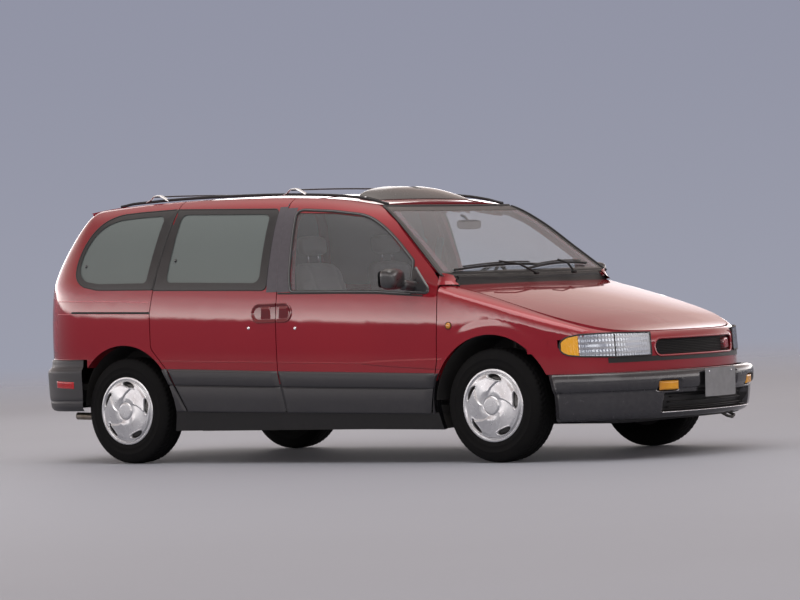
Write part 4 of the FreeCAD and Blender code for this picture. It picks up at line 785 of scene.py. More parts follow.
def buildFrontBumper():
    q = np.concatenate([np.linspace(.10, .55, 40), np.linspace(.56, 1.44, 150), np.linspace(1.45, 1.90, 40)])
    qq, zz, ii = sectionGrid(q, frontSection, 97)
    plain = bumperPoint(qq, zz, ii, frontBumper)
    y = plain[..., 1]
    floorZ = .268
    halfWay = frontBumper["intake"] - (zz - floorZ) * .06
    mouth = smoothStep(0, .012, halfWay - np.abs(y)) * smoothStep(floorZ - .004, floorZ + .006, zz)
    mouth = mouth * (1 - smoothStep(.366, .376, zz))
    seat = smoothStep(0, .008, .205 - np.abs(y)) * smoothStep(.368, .376, zz)
    seat = seat * (1 - smoothStep(.478, .486, zz))
    across, up = (np.abs(y) - frontBumper["lampY"]) / .079, (zz - frontBumper["lampZ"] - .002) / .0325
    lamp = np.sqrt(np.abs(across) ** 5 + np.abs(up) ** 5)
    lampHole = 1 - smoothStep(.85, 1.12, lamp)
    lampRim = np.exp(-((lamp - 1.25) / .16) ** 2)
    deep = .055 * mouth + .018 * seat + .022 * lampHole - .0015 * lampRim
    p = bumperPoint(qq, zz, ii + deep, frontBumper)
    room = frontBumper["arch"] ** 2 - (p[..., 2] - body["hubZ"]) ** 2
    edge = body["frontAxle"] + np.sqrt(np.maximum(room, 0))
    p[..., 0] = np.maximum(p[..., 0], edge)
    nu, nv = qq.shape
    quads = gridFaces(nu, nv, flip=True)
    dark = (mouth.ravel()[quads].mean(1) > .5) | (seat.ravel()[quads].mean(1) > .6)
    rim = (lampRim.ravel()[quads].mean(1) > .62)
    which = np.where(dark, 1, np.where(rim, 2, 0))
    obj = addMesh("frontBumperCover", p, quads, None, "body",
                  materials=[mats["bumper_plastic"], mats["black_trim"], mats["bright"]],
                  faceMats=which)
    mergeDoubles(obj)
    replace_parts(obj, "front_bumper")


buildFrontBumper()


# thin moulding carried along the bumper at one height
def bumperStrip(name, zs, inset, yMax, section, material):
    q = np.linspace(.3, 1.7, 400)
    z = np.full(q.shape, zs)
    p = bumperPoint(q, z, np.full(q.shape, inset), frontBumper)
    p = resample(p[np.abs(p[:, 1]) < yMax], .012, closed=False)
    n = unit(np.cross(np.gradient(p, axis=0), [0, 0, 1.0]))
    n = np.where(n[:, :1] < 0, -n, n)
    return sweep(name, p, n, section, material, "body", closed=False)


bumperStrip("intakeLip", .264, .0405, .468, roundSection(.006, .012, lift=.002), mats["bright"])
for k in range(3):
    bumperStrip("intakeSlat%d" % k, .290 + .03 * k, .075, .40 - .012 * k, roundSection(.008, .02),
                mats["black_trim"])
for side, sign in sides:
    u, v = evenGrid((-1, 1, 30), (-1, 1, 16))
    y = -frontBumper["lampY"] + u * .066
    z = frontBumper["lampZ"] + .002 + v * .0265
    q = np.linspace(.5, 1.0, 300)
    curve = bumperPoint(q, 0 * q, 0 * q + .006, frontBumper)
    x = np.interp(y, curve[:, 1], curve[:, 0]) - .010 * np.maximum(np.abs(u), np.abs(v)) ** 8
    x = x + .0008 * np.cos(u * 60)
    face = np.stack([x, y, z], -1)
    sidePatch("fogLamp" + side.title(), face, mats["amber_lens"], "body", sign)


# flat card with rounded corners, leaning back by tilt
def plateMesh(name, centreX, z, width, height, tilt, owner):
    corners = [(-width / 2, -height / 2, .008), (width / 2, -height / 2, .008), (width / 2, height / 2, .008),
               (-width / 2, height / 2, .008)]
    outline = roundOutline(corners)
    front = np.stack([np.full(len(outline), centreX) + outline[:, 1] * tilt, outline[:, 0],
                      z + outline[:, 1]], -1)
    sign = 1 if centreX > 0 else -1
    back = front - np.array([.003 * sign, 0, 0])
    n = len(outline)
    faces = [list(range(n)), list(range(n, 2 * n))[::-1]]
    faces += [[k, k + n, (k + 1) % n + n, (k + 1) % n] for k in range(n)]
    if sign < 0:
        faces = [f[::-1] for f in faces]
    return addMesh(name, np.concatenate([front, back]), faces, mats["plate"], owner, smooth=False)


plateMesh("frontPlate", 2.4095, .4205, .330, .165, .03, "body")
for y in (-.12, .12):
    superBox("plateBolt%d" % (y > 0), (2.4115, y, .484), (.003, .012, .012), 2.4, mats["bright"], "body", 10)
print("front bumper")

rearBumper = {"end": -2.4105, "start": -1.792, "half": .9335, "power": 2.6, "root": .36,
              "arch": [(.326, -1.802), (.40, -1.798), (.474, -1.788), (.513, -1.775), (.60, -1.738),
                       (.653, -1.708), (.70, -1.68)]}
rearSection = [(.674, .085), (.672, .050), (.668, .040), (.655, .036), (.638, .034), (.622, .030),
               (.612, .020), (.603, .008), (.595, .002), (.585, 0), (.56, .0005), (.52, .002), (.47, .004),
               (.425, .007), (.412, .009), (.408, .014), (.402, .015), (.39, .012), (.37, .015),
               (.355, .022), (.343, .034), (.338, .052), (.338, .08)]


def buildRearBumper():
    q = np.concatenate([np.linspace(-.16, .5, 70), np.linspace(.51, 1.49, 90), np.linspace(1.5, 2.16, 70)])
    qq, zz, ii = sectionGrid(q, rearSection, 89)
    plain = bumperPoint(qq, zz, ii, rearBumper)
    y = plain[..., 1]
    pad = smoothStep(0, .01, .52 - np.abs(y)) * smoothStep(.60, .608, zz)
    rib = pad * (.5 + .5 * np.cos(y * 2 * math.pi / .02)) * (zz > .64)
    p = bumperPoint(qq, zz, ii - .004 * rib, rearBumper)
    edge = onLine(p[..., 2], rearBumper["arch"])
    p[..., 0] = np.minimum(p[..., 0], edge)
    obj = addMesh("rearBumperCover", p, gridFaces(*qq.shape), mats["cladding"], "body")
    mergeDoubles(obj)
    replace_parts(obj, "rear_bumper")


buildRearBumper()
for side, sign in sides:
    u, v = evenGrid((-1, 1, 24), (-1, 1, 14))
    x, z = -1.951 + u * .087, .508 + v * .022 - u * .004
    q = np.linspace(0, .9, 400)
    curve = bumperPoint(q, 0 * q, 0 * q, rearBumper)
    y = np.interp(-x, -curve[:, 0], curve[:, 1]) - .004 * (1 - np.maximum(np.abs(u), np.abs(v)) ** 10) + .001
    sidePatch("sideReflector" + side.title(), np.stack([x, y, z], -1), mats["red_lens"], "body", sign)
print("rear bumper")


# x of the nose at a place seen from ahead, from a fine table of the wrap, leaning back with z
def noseX(y, z, lift):
    x, side = wrapPoint(np.linspace(1.0, 2.0, 900), 0.62)
    return np.interp(y, side, x) + lift - (z - .6) * .06


# patch over the nose between y0 and y1 and between the lines z0 and z1, depth behind it, plus a relief
def lampPatch(name, y0, y1, z0, z1, depth, nu, nv, material, sign, relief):
    u, v = evenGrid((0, 1, nu), (0, 1, nv))
    low, high = onLine(y0 + (y1 - y0) * u, z0), onLine(y0 + (y1 - y0) * u, z1)
    y = y0 + (y1 - y0) * u
    z = low + (high - low) * v
    x = noseX(y, z, -depth) + relief(y, z)
    sidePatch(name, np.stack([x, y, z], -1), material, "body", sign)


lampLow = [(-.866, .660), (-.8635, .640), (-.857, .628), (-.846, .617), (-.812, .609), (-.74, .604),
           (-.66, .600), (-.44, .600)]
lampHigh = [(-.866, .672), (-.8635, .690), (-.857, .704), (-.846, .718), (-.812, .729), (-.74, .732),
            (-.66, .732), (-.44, .726)]
for side, sign in sides:
    def fluted(y, z):
        return -.0006 * (1 + np.cos(y * 2 * math.pi / .011))

    def bowl(centre):
        def shape(y, z):
            r = np.hypot(y - centre, (z - .666) * 1.25)
            return .0012 * np.sin(y * 420) * smoothStep(.02, .06, r) + .0008 * np.cos(z * 210)
        return shape
    lampPatch("amberLens" + side.title(), -.863, -.815, lampLow, lampHigh, -.0078, 34, 18,
              mats["amber_lens"], sign, fluted)
    lampPatch("outerLamp" + side.title(), -.812, -.668, lampLow, lampHigh, -.0056, 80, 40,
              mats["reflector"], sign, bowl(-.74))
    lampPatch("innerLamp" + side.title(), -.662, -.452, lampLow, lampHigh, -.0040, 90, 40,
              mats["reflector"], sign, bowl(-.56))
    lampPatch("lampLens" + side.title(), -.812, -.450, lampLow, lampHigh, -.0092, 90, 20, mats["lamp_lens"],
              sign,
              lambda y, z: -.0005 * (1 + np.cos(y * 2 * math.pi / .016)) * (np.abs(y + .56) < .09))
    ys = np.concatenate([np.linspace(-.866, -.84, 14), np.linspace(-.835, -.450, 50)])
    low = np.stack([ys, onLine(ys, lampLow) - .003], -1)
    high = np.stack([ys, onLine(ys, lampHigh) + .003], -1)
    edge = resample(np.concatenate([low, high[::-1]]), .008)
    path = np.stack([noseX(edge[:, 0], edge[:, 1], .0068), edge[:, 0], edge[:, 1]], -1)
    n = unit(np.stack([np.full(len(path), .75), path[:, 1] * .8, 0 * path[:, 0]], -1))
    sideSweep("lampSeal" + side.title(), path, n, roundSection(.009, .007), mats["rubber"], "body", sign)
    y, z = np.full(20, -.665), np.linspace(.603, .729, 20)
    bar = np.stack([noseX(y, z, .0085), y, z], -1)
    sideSweep("lampSplit" + side.title(), bar, (.7, -.7, 0), roundSection(.006, .006), mats["rubber"],
              "body", sign, closed=False)
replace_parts(bpy.data.objects["lampLensRight"], "headlamps")

grilleShape = {"low": .598, "high": .684, "ribs": 9}
outline = roundOutline([(-.417, .590, .045), (.417, .590, .045), (.417, .692, .045), (-.417, .692, .045)], 10)
loop = resample(outline, .012)


def noseAt(y, z, lift):  # nose surface at y, leaning back with z
    return np.stack([noseX(-np.abs(y), z, lift), y, z], -1)


frameObj = sweep("grilleFrame", noseAt(loop[:, 0], loop[:, 1], .001), (1, 0, 0),
                 roundSection(.014, .010, 2.4),
      mats["body_paint"], "body")
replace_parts(frameObj, "grille")
ys = np.linspace(-.395, .395, 80)
for k in range(grilleShape["ribs"]):
    z = grilleShape["low"] + (grilleShape["high"] - grilleShape["low"]) * (k + .5) / grilleShape["ribs"]
    sweep("grilleRib%d" % k, noseAt(ys, np.full(80, z), -.012), (1, 0, 0), roundSection(.0035, .014),
          mats["black_trim"], "body", closed=False)
u, v = evenGrid((-.412, .412, 60), (.594, .688, 8))
addMesh("grilleBack", noseAt(u, v, -.030), gridFaces(60, 8), mats["black_trim"], "body")
u, v = evenGrid((.300, .400, 20), (.600, .682, 14))
away = ((u - .35) / .05) ** 4 + ((v - .641) / .041) ** 4
addMesh("grilleBlank", noseAt(u, v, -.004) - np.stack([.02 * np.clip(away, 0, 1) ** 2, 0 * u, 0 * u], -1),
        gridFaces(20, 14),
        mats["body_paint"], "body")
print("lamps and grille")

glass = {
    "quarterOut": [(-1.190, 1.096, .008), (-1.657, 1.108, .25), (-1.790, 1.134, .12), (-1.850, 1.186, .09),
                   (-1.857, 1.269, .3), (-1.829, 1.372, .6), (-1.771, 1.475, .5), (-1.690, 1.544, .3),
                   (-1.573, 1.581, .4), (-1.401, 1.589, 1.0), (-1.098, 1.595, .008)],
    "quarterIn": [(-1.245, 1.139, .035), (-1.655, 1.147, .2), (-1.760, 1.165, .1), (-1.814, 1.205, .08),
                  (-1.826, 1.270, .25), (-1.800, 1.366, .5), (-1.747, 1.455, .4), (-1.675, 1.514, .25),
                  (-1.570, 1.547, .35), (-1.401, 1.556, 1.0), (-1.178, 1.560, .035)],
    "sliderOut": [(-1.182, 1.092, .006), (-.262, 1.063, .035), (-.260, 1.560, .03), (-1.092, 1.594, .006)],
    "sliderIn": [(-1.078, 1.137, .035), (-.322, 1.109, .05), (-.318, 1.531, .04), (-1.036, 1.560, .04)],
    "doorLine": [(-.068, 1.046, .03), (.596, 1.027, .5), (.841, 1.006, .1), (.848, 1.006, .01),
                 (.838, 1.200, .02), (.700, 1.322, 1.0), (.572, 1.416, 1.0), (.424, 1.491, .5),
                 (.164, 1.527, .8), (-.074, 1.546, .2), (-.117, 1.530, .04), (-.086, 1.126, 1.0)],
}


# grid laid on the side of the body, lift metres proud
def sideMesh(name, x, z, lift, material, owner, sign, closeU=False):
    p = np.stack([x, sideAt(x, z) - lift, z], -1)
    i, j = x.shape[0] // 3, x.shape[1] // 2
    n = np.cross(p[i + 1, j] - p[i, j], p[i, j] - p[i, j - 1])
    return addMesh(name, sided(p, sign), gridFaces(*x.shape, closeU=closeU, flip=(n[1] > 0) != (sign < 0)),
                   material, owner)


def ringBetween(outer, inner, parts=5):  # two outlines of the same corners joined by straight rows
    t = np.arange(parts) / parts
    lines = []
    for line in (roundOutline(outer, 8), roundOutline(inner, 8)):
        after = np.roll(line, -1, 0)
        finer = line[:, None] * (1 - t)[None, :, None] + after[:, None] * t[None, :, None]
        lines.append(finer.reshape(-1, 2))
    w = np.linspace(0, 1, parts)
    grid = lines[0][:, None] * (1 - w)[None, :, None] + lines[1][:, None] * w[None, :, None]
    return grid[..., 0], grid[..., 1]


def stripBetween(left, right, zs):  # x from one line to the other at each height
    z, t = np.meshgrid(zs, np.linspace(0, 1, 6), indexing="ij")
    x = onLine(z, left) * (1 - t) + onLine(z, right) * t
    return x, z


# moulding that follows an outline on the side
def sideLine(name, outline, width, height, lift, material, owner, sign, step=.012, closed=True):
    line = resample(roundOutline(outline, 10) if closed else np.array(outline), step, closed)
    e = 0.004
    y = sideAt(line[:, 0], line[:, 1])
    up = (sideAt(line[:, 0], line[:, 1] + e) - y) / e
    n = unit(np.stack([0 * y, -1 + 0 * y, up], -1))
    path = np.stack([line[:, 0], y, line[:, 1]], -1) + n * lift
    return sideSweep(name, path, n, roundSection(width, height), material, owner, sign, closed=closed)


for side, sign in sides:
    tag, door = side.title(), "front_door_" + side
    sideMesh("quarterFrit" + tag, *ringBetween(glass["quarterOut"], glass["quarterIn"]), .0015,
             mats["frit"], "body", sign, True)
    sideLine("quarterSeal" + tag, glass["quarterOut"], .007, .006, .001, mats["rubber"], "body", sign)
    sideMesh("middleFrit" + tag, *ringBetween(glass["sliderOut"], glass["sliderIn"]), .0015, mats["frit"],
             "body", sign, True)
    sideLine("middleSeal" + tag, glass["sliderOut"], .007, .006, .001, mats["rubber"], "body", sign)
    zs = np.linspace(1.050, 1.572, 24)
    x, z = stripBetween([(1.05, -.258), (1.6, -.257)], [(1.047, -.1785), (1.6, -.2035)], zs)
    sideMesh("rearPost" + tag, x, z, .0012, mats["post"], "body", sign)
    zs = np.linspace(1.047, 1.562, 24)
    rearLine = [(1.047, -.070), (1.126, -.088), (1.53, -.117), (1.6, -.117)]
    x, z = stripBetween([(1.047, -.1720), (1.6, -.1970)], rearLine, zs)
    sideMesh("doorPost" + tag, x, z, .0012, mats["post"], door, sign)
    sideLine("postGap" + tag, [(-.1752, 1.048), (-.1878, 1.320), (-.2003, 1.590)], .0066, .002, .0006,
             mats["post"], "body", sign,
             closed=False)
    sideLine("middleGap" + tag, [(-1.1865, 1.094), (-1.140, 1.345), (-1.0955, 1.594)], .012, .004, .0015,
             mats["rubber"], "body", sign,
             closed=False)
    sideLine("doorSeal" + tag, glass["doorLine"], .020, .010, .001, mats["rubber"], door, sign)
    # thin light grey line inside the door seal: painted highlight on its edge
    sideLine("doorSealHighlight" + tag, glass["doorLine"], .0028, .003, .0060, mats["edge"], door, sign)
    sideLine("beltMoulding" + tag, [(-.165, 1.040), (.3, 1.029), (.60, 1.018), (.84, .999), (.935, .993)],
             .010, .007, .002,
             mats["rubber"], door, sign, closed=False)
    for name, x, z in (("quarterLatch", -1.775, 1.262), ("middleLatch", -1.020, 1.272)):
        superBox(name + tag, (x, sign * float(sideAt(x, z)), z), (.016, .01, .02), 2.6, mats["gloss_black"],
                 "body", 10)
print("side windows")

# black skirt under the cladding, along the sill
for side, sign in sides:
    sill = [(-.955, .335), (-.135, .318), (.965, .300)]
    x, t = evenGrid((-1.020, 1.012, 60), (0, 1, 8))
    top = onLine(x, sill)
    z = .206 + (top - .206) * t
    x = x + (.336 - z) * np.where(x < 0, -.22, .22) * smoothStep(.90, 1.01, np.abs(x))
    sideMesh("sillSkirt" + side.title(), x, z, .0025, mats["black_trim"], "body", sign)
print("sills")

handle = {"x0": -.372, "x1": -.053, "z0": .862, "z1": .982, "seam": -.178}


# shallow dish over the skin: rim proud, hollow middle, held flap
def cupPiece(name, left, right, owner, sign, material):
    u, v = evenGrid((-1, 1, 90), (-1, 1, 40))
    cx, cz = (handle["x0"] + handle["x1"]) / 2, (handle["z0"] + handle["z1"]) / 2
    hx, hz = (handle["x1"] - handle["x0"]) / 2, (handle["z1"] - handle["z0"]) / 2
    flat = np.sqrt(np.clip(1 - np.clip((np.abs(u) * hx - (hx - hz)) / hz, 0, 1) ** 2, 0, 1))
    x, z = cx + u * hx, cz + v * hz * flat
    r = np.maximum(np.hypot(np.clip(np.abs(x - cx) - (hx - hz), 0, 1), z - cz) / hz, 0)
    lift = .0065 * smoothStep(.62, .93, r) * (1 - smoothStep(.965, 1.0, r)) + .0008
    flapCentre = handle["seam"] + (.062 if left > handle["seam"] - .01 else -.080)
    flap = (1 - smoothStep(.030, .036, np.abs(x - flapCentre))) * (1 - smoothStep(.030, .040, np.abs(z - cz)))
    lift = lift + .011 * flap * smoothStep(-.04, .03, z - cz)
    keep = (x >= left) & (x <= right)
    faces = gridFaces(90, 40)
    faces = faces[keep.ravel()[faces].all(1)]
    p = np.stack([x, sideAt(x, z) - lift, z], -1)
    obj = addMesh(name, sided(p, sign), faces if sign > 0 else faces[:, ::-1], material, owner)
    mergeDoubles(obj)


for side, sign in sides:
    door = "front_door_" + side
    # the cups take the darker paint: painted shade in the recess
    cupPiece("doorCup" + side.title(), handle["seam"] + .004, 1, door, sign, mats["cupShadedPaint"])
    if sign > 0:
        cupPiece("slidingCup", -1, handle["seam"] - .004, "body", sign, mats["cupShadedPaint"])
    for name, owner, x, z, r, material in (("doorLock", door, -.030, .824, .010, "bright"),
                                           ("sideLock", "body", -.396, .834, .010, "bright"),
                                           ("sideMarker", "body", 1.124, .810, .019, "amber_lens")):
        if sign < 0 and name == "sideLock":
            continue
        a, b = np.meshgrid(np.linspace(0, 2 * math.pi, 28, endpoint=False), np.linspace(0, 1, 9),
                           indexing="ij")
        px, pz = x + r * b * np.cos(a), z + r * b * np.sin(a)
        proud = (.010 if name == "sideMarker" else .004) * np.sqrt(np.clip(1 - b ** 3, 0, 1)) + .0005
        p = np.stack([px, sideAt(px, pz) - proud, pz], -1)
        obj = addMesh(name + side.title(), sided(p, sign), gridFaces(28, 9, closeU=True), mats[material],
                      owner)
        mergeDoubles(obj)
    sideLine("markerRing" + side.title(), [(1.124 + .021 * math.cos(t), .810 + .021 * math.sin(t),
                                            0) for t in np.linspace(0, 6.1, 24)],
             .004, .005, .001, mats["black_trim"], "body", sign, step=.004)
sideLine("coachLineTop", [(-2.02, 1.044), (-1.6, 1.033), (-1.216, 1.017)], .004, .003, .0006,
         mats["paintEdge"], "body", 1, closed=False)
sideLine("coachLineLow", [(-2.03, .963), (-1.6, .952), (-1.217, .938)], .003, .003, .0006,
         mats["paintEdge"], "body", 1, closed=False)
x, t = evenGrid((-1.880, -1.206, 40), (-.5, .5, 3))
sideMesh("doorTrack", x, np.interp(x, [-1.88, -1.206], [.969, .950]) + t * .014, .0008, mats["black_trim"],
         "body", 1)
print("handles")

for side, sign in sides:
    owner = "front_door_" + side
    u, v = np.meshgrid(np.linspace(-math.pi / 2, math.pi / 2, 40),
                       np.linspace(-math.pi, math.pi, 72, endpoint=False), indexing="ij")
    a = signPower(np.cos(u), .42) * signPower(np.cos(v), .6)
    b = signPower(np.sin(u), .55)
    c = signPower(np.cos(u), .42) * signPower(np.sin(v), .55)
    y = -1.055 + .093 * b
    grow = 1 - .10 * smoothStep(-.2, 1.0, b)
    x = .826 + .052 * a * grow - .012 * b
    z = 1.098 + .064 * c * grow
    x = np.maximum(x, .774 + .010 * smoothStep(.86, .95, np.maximum(np.abs(b), np.abs(c))))
    mirrorCap = addMesh("mirrorShell" + side.title(), sided(np.stack([x, y, z], -1), sign),
                        gridFaces(40, 72, closeV=True), mats["mirrorBlack"], owner)
    mergeDoubles(mirrorCap)
    g, h = evenGrid((-1, 1, 20), (-1, 1, 16))
    mask = (np.abs(g) ** 5 + np.abs(h) ** 5) ** .2
    g, h = g / np.maximum(1, mask), h / np.maximum(1, mask)
    p = np.stack([.7725 + 0 * g, -1.057 + .074 * g, 1.098 + .050 * h], -1)
    addMesh("mirrorGlass" + side.title(), sided(p, sign), gridFaces(20, 16, flip=sign > 0),
            mats["mirror_glass"], owner)
    t = np.linspace(0, 1, 14)
    path = np.stack([.842 + .020 * t, -.985 + .092 * t, 1.062 - .012 * t], -1)
    sideSweep("mirrorArm" + side.title(), path, (0, 0, 1.0), roundSection(.072, .062, 2.6, 20),
              mats["mirrorBlack"], owner, sign, closed=False)
    corners = [(.845, 1.006, .01), (.958, 1.000, .012), (.984, 1.012, .014), (.974, 1.046, .06),
               (.862, 1.172, .01), (.846, 1.160, .006)]
    line = resample(roundOutline(corners), .010)
    centre = line.mean(0)
    w = np.linspace(1, .05, 12)
    grid = line[:, None] * w[None, :, None] + centre * (1 - w)[None, :, None]
    proud = .0075 * np.sqrt(np.clip(1 - w ** 8, 0, 1)) + .0005
    sideMesh("mirrorSail" + side.title(), grid[..., 0], grid[..., 1],
             np.broadcast_to(proud, grid.shape[:2]), mats["mirrorBlack"], owner, sign, True)
    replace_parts(mirrorCap, "mirror_" + side)
print("mirrors")

rack = {"y": .600, "bars": (-1.374, -.254), "railRear": -1.69, "railFront": .47}
for side, sign in sides:
    x = np.linspace(rack["railRear"], rack["railFront"], 120)
    raised = .008 * smoothStep(0, .12, x - rack["railRear"]) * smoothStep(0, .12, rack["railFront"] - x)
    z = roofHeight(x, rack["y"]) + .008 + raised
    path = np.stack([x, 0 * x - rack["y"], z], -1)
    sideSweep("roofRail" + side.title(), path, (0, 0, 1.0), roundSection(.018, .018, 2.6),
              mats["rack_black"], "body", sign, closed=False)
    for k, at in enumerate(rack["bars"]):
        base = float(roofHeight(np.array([at]), rack["y"])[0])
        shape = [(-.095, .014), (-.062, .026), (-.036, .048), (-.012, .051), (.02, .050), (.048, .036),
                 (.092, .014)]
        path = resample(np.array([(at + a, -rack["y"], base + b) for a, b in shape]), .006, False)
        sideSweep("rackFoot%d%s" % (k, side.title()), path, (0, -.2, 1.0), roundSection(.026, .009, 2.6),
                  mats["bright"], "body", sign, closed=False)
for k, at in enumerate(rack["bars"]):
    y = np.linspace(-.612, .612, 60)
    base = float(roofHeight(np.array([at]), rack["y"])[0])
    z = base + .044 + .0085 * (1 - (y / .612) ** 2)
    path = np.stack([at + 0 * y, y, z], -1)
    bar = sweep("rackBar%d" % k, path, (0, 0, 1.0), roundSection(.044, .009, 2.4, 16), mats["rack_black"],
                "body",
                closed=False)
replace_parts(bar, "roof_rack")

deflector = {"half": .475, "front": .338, "rear": .125, "rise": .072}
u, v = evenGrid((-1, 1, 140), (0, 1, 44))
y = deflector["half"] * u
share = np.clip(1 - np.abs(u) ** 2.8, 0, 1) ** .62
sweepBack = .030 * u ** 2
front = deflector["front"] - sweepBack
x = front + (deflector["rear"] - front + .03 * (1 - share)) * np.clip(v / .86, 0, 1) ** .9
hump = np.sin(np.clip(v / .80, 0, 1) * math.pi / 2) ** .8 * (1 - .55 * smoothStep(.80, 1.0, v))
notch = (1 - smoothStep(.05, .08, np.abs(u - .12))) * smoothStep(.42, .58, v)
rise = deflector["rise"] * hump * (.12 + .88 * share) - .014 * notch
roofAt = roofHeight(x, y)
z = np.minimum(roofAt + .003 + rise * .78, 1.6795)
z = np.where(v > .999, roofAt + .001, z)
deflectorObj = addMesh("windDeflector", np.stack([x, y, z], -1), gridFaces(140, 44, flip=True),
                       mats["deflector"], "body")
mergeDoubles(deflectorObj)
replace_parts(deflectorObj, "roof_deflector")
print("rack and deflector")

# moulding on the windshield along given shares and levels
def shieldLine(name, ss, levels, lift, width, height, material):
    p = np.array([shieldPoint(l, s) for s, l in zip(ss, levels)])
    p = p.reshape(len(ss), 3)
    n = np.tile([.55, 0, .83], (len(ss), 1)) + np.stack([0 * ss, np.asarray(ss) * .55, 0 * ss], -1)
    path = p + unit(n) * lift
    return sweep(name, path, n, roundSection(width, height), material, "body", closed=False)


# patch of the windshield between two shares and two levels, lift metres above it
def shieldPatch(name, s0, s1, l0, l1, lift, material, ns=60, nl=10):
    s, l = evenGrid((s0, s1, ns), (0, 1, nl))
    p = shieldPoint(l0 + (l1 - l0) * l, s)
    return addMesh(name, p + unit(np.array([.55, 0, .83])) * lift, gridFaces(ns, nl), material, "body")


shieldLevels = np.linspace(1.105, 1.540, 40)
for tag, s in (("Right", -.987), ("Left", .987)):
    shieldLine("shieldSeal" + tag, np.full(40, s), shieldLevels, .002, .016, .010, mats["rubber"])
    shieldPatch("shieldFrit" + tag, s * .95, s, 1.107, 1.540, .0008, mats["frit"], 6, 40)
shieldLine("shieldSealTop", np.linspace(-.985, .985, 60), np.full(60, 1.5445), .002, .016, .009,
           mats["rubber"])
shieldPatch("shieldFritTop", -.97, .97, 1.512, 1.543, .0008, mats["frit"])
shieldPatch("shieldFritLow", -.97, .97, 1.106, 1.128, .0008, mats["frit"])
wiperLines = [(-.84, .12, 1.128, 1.150, -.05), (-.06, .78, 1.122, 1.150, .42)]
for k, (s0, s1, l0, l1, pivot) in enumerate(wiperLines):
    ss = np.linspace(s0, s1, 40)
    ll = l0 + (l1 - l0) * np.sin(np.linspace(0, 1, 40) * math.pi * .72) / math.sin(math.pi * .36)
    blade = shieldLine("wiperBlade%d" % k, ss, ll, .013, .009, .016, mats["rubber"])
    shieldLine("wiperFrame%d" % k, ss[4:-4], ll[4:-4] + .003, .026, .012, .006, mats["black_trim"])
    mid = 20
    start = shieldPoint(np.array([1.085]), np.array([pivot]))[0] + np.array([.02, 0, .02])
    over = shieldPoint(np.array([ll[mid]]), np.array([ss[mid]]))[0] + np.array([.020, 0, .032])
    knee = (start + over) / 2 + np.array([.014, 0, .016])
    tube("wiperArm%d" % k, resample(np.array([start, knee, over]), .01, False), .0065, mats["black_trim"],
         "body")
    superBox("wiperPivot%d" % k, start, (.034, .034, .022), 3.0, mats["black_trim"], "body", 12)
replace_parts(blade, "wipers")
tube("antennaBase", [(1.118, -.800, 1.040), (1.112, -.802, 1.066), (1.108, -.803, 1.082)],
     np.array([.011, .010, .006]), mats["black_trim"], "body")
superBox("innerMirror", (.632, 0, 1.418), (.022, .245, .062), 4.0, mats["dash_plastic"], "body", 16)
tube("innerMirrorStem", [(.628, 0, 1.44), (.60, 0, 1.470), (.575, 0, 1.478)], .009, mats["dash_plastic"],
     "body")
print("windshield and wipers")

# black strip under the lamps
y, t = evenGrid((-.70, .70, 120), (0, 1, 6))
z = .562 + .030 * t
addMesh("noseGap", noseAt(y, z, .0015), gridFaces(120, 6), mats["black_trim"], "body")
hookPath = [(2.20, .30, .235), (2.26, .30, .205), (2.27, .34, .196), (2.26, .38, .205), (2.20, .38, .235)]
tube("towHook", hookPath, .009, mats["chassis_steel"], "body")
print("nose strip")

seat = {"y": .38, "voxel": .013, "wideVoxel": .020, "pressure": 4.0, "frames": 14, "cap": .016}


# rounded block between four side corners (x, z), puffed by cloth pressure
def pillow(name, corners, y0, y1, seams, voxel):
    c = np.array(corners, float)
    u, v, w = np.meshgrid(np.linspace(-1, 1, 14), np.linspace(-1, 1, 14), np.linspace(-1, 1, 18),
                          indexing="ij")
    p = np.stack([u, v, w], -1).reshape(-1, 3)
    m = (np.abs(p) ** 5).sum(1) ** .2
    edge = np.abs(p).max(1)
    p = p * (edge / m)[:, None]
    s, t = (p[:, 0] + 1) / 2, (p[:, 1] + 1) / 2
    low = c[0] * (1 - s)[:, None] + c[1] * s[:, None]
    high = c[3] * (1 - s)[:, None] + c[2] * s[:, None]
    flat = low * (1 - t)[:, None] + high * t[:, None]
    y = (y0 + y1) / 2 + p[:, 2] * (y1 - y0) / 2
    grid = np.stack([flat[:, 0], y, flat[:, 1]], -1).reshape(14, 14, 18, 3)
    faces, verts, start = [], [], 0
    for side in (grid[0], grid[-1], grid[:, 0], grid[:, -1], grid[:, :, 0], grid[:, :, -1]):
        nu, nv = side.shape[:2]
        verts.append(side.reshape(-1, 3))
        faces.append(gridFaces(nu, nv, start=start))
        start += nu * nv
    obj = addMesh(name, np.concatenate(verts), np.concatenate(faces), mats["seat_cloth"], "body")
    mergeDoubles(obj, 1e-4)
    puff(obj, voxel)
    sewn(obj, corners, y0, y1, seams)
    more = obj.modifiers.new("smoother", "SUBSURF")
    more.levels = more.render_levels = 1
    return obj


# remesh, blow up with cloth pressure, cap how far each point moves, keep the result as plain mesh
def puff(obj, voxel):
    scene = bpy.context.scene
    made = obj.modifiers.new("remesh", "REMESH")
    made.mode = "VOXEL"
    made.voxel_size = voxel
    bakeDown(obj)
    rest = np.array([v.co for v in obj.data.vertices])
    cloth = obj.modifiers.new("cloth", "CLOTH")
    cloth.settings.use_pressure = True
    cloth.settings.uniform_pressure_force = seat["pressure"]
    cloth.settings.effector_weights.gravity = 0
    cloth.settings.quality = 4
    cloth.point_cache.frame_end = seat["frames"]
    for f in range(1, seat["frames"] + 1):
        scene.frame_set(f)
    bakeDown(obj)
    scene.frame_set(1)
    now = np.array([v.co for v in obj.data.vertices])
    move = now - rest
    size = np.linalg.norm(move, axis=1, keepdims=True)
    place = rest + move * np.minimum(1, seat["cap"] / np.maximum(size, 1e-9))
    obj.data.vertices.foreach_set("co", place.astype(np.float32).ravel())
    for poly in obj.data.polygons:
        poly.use_smooth = True


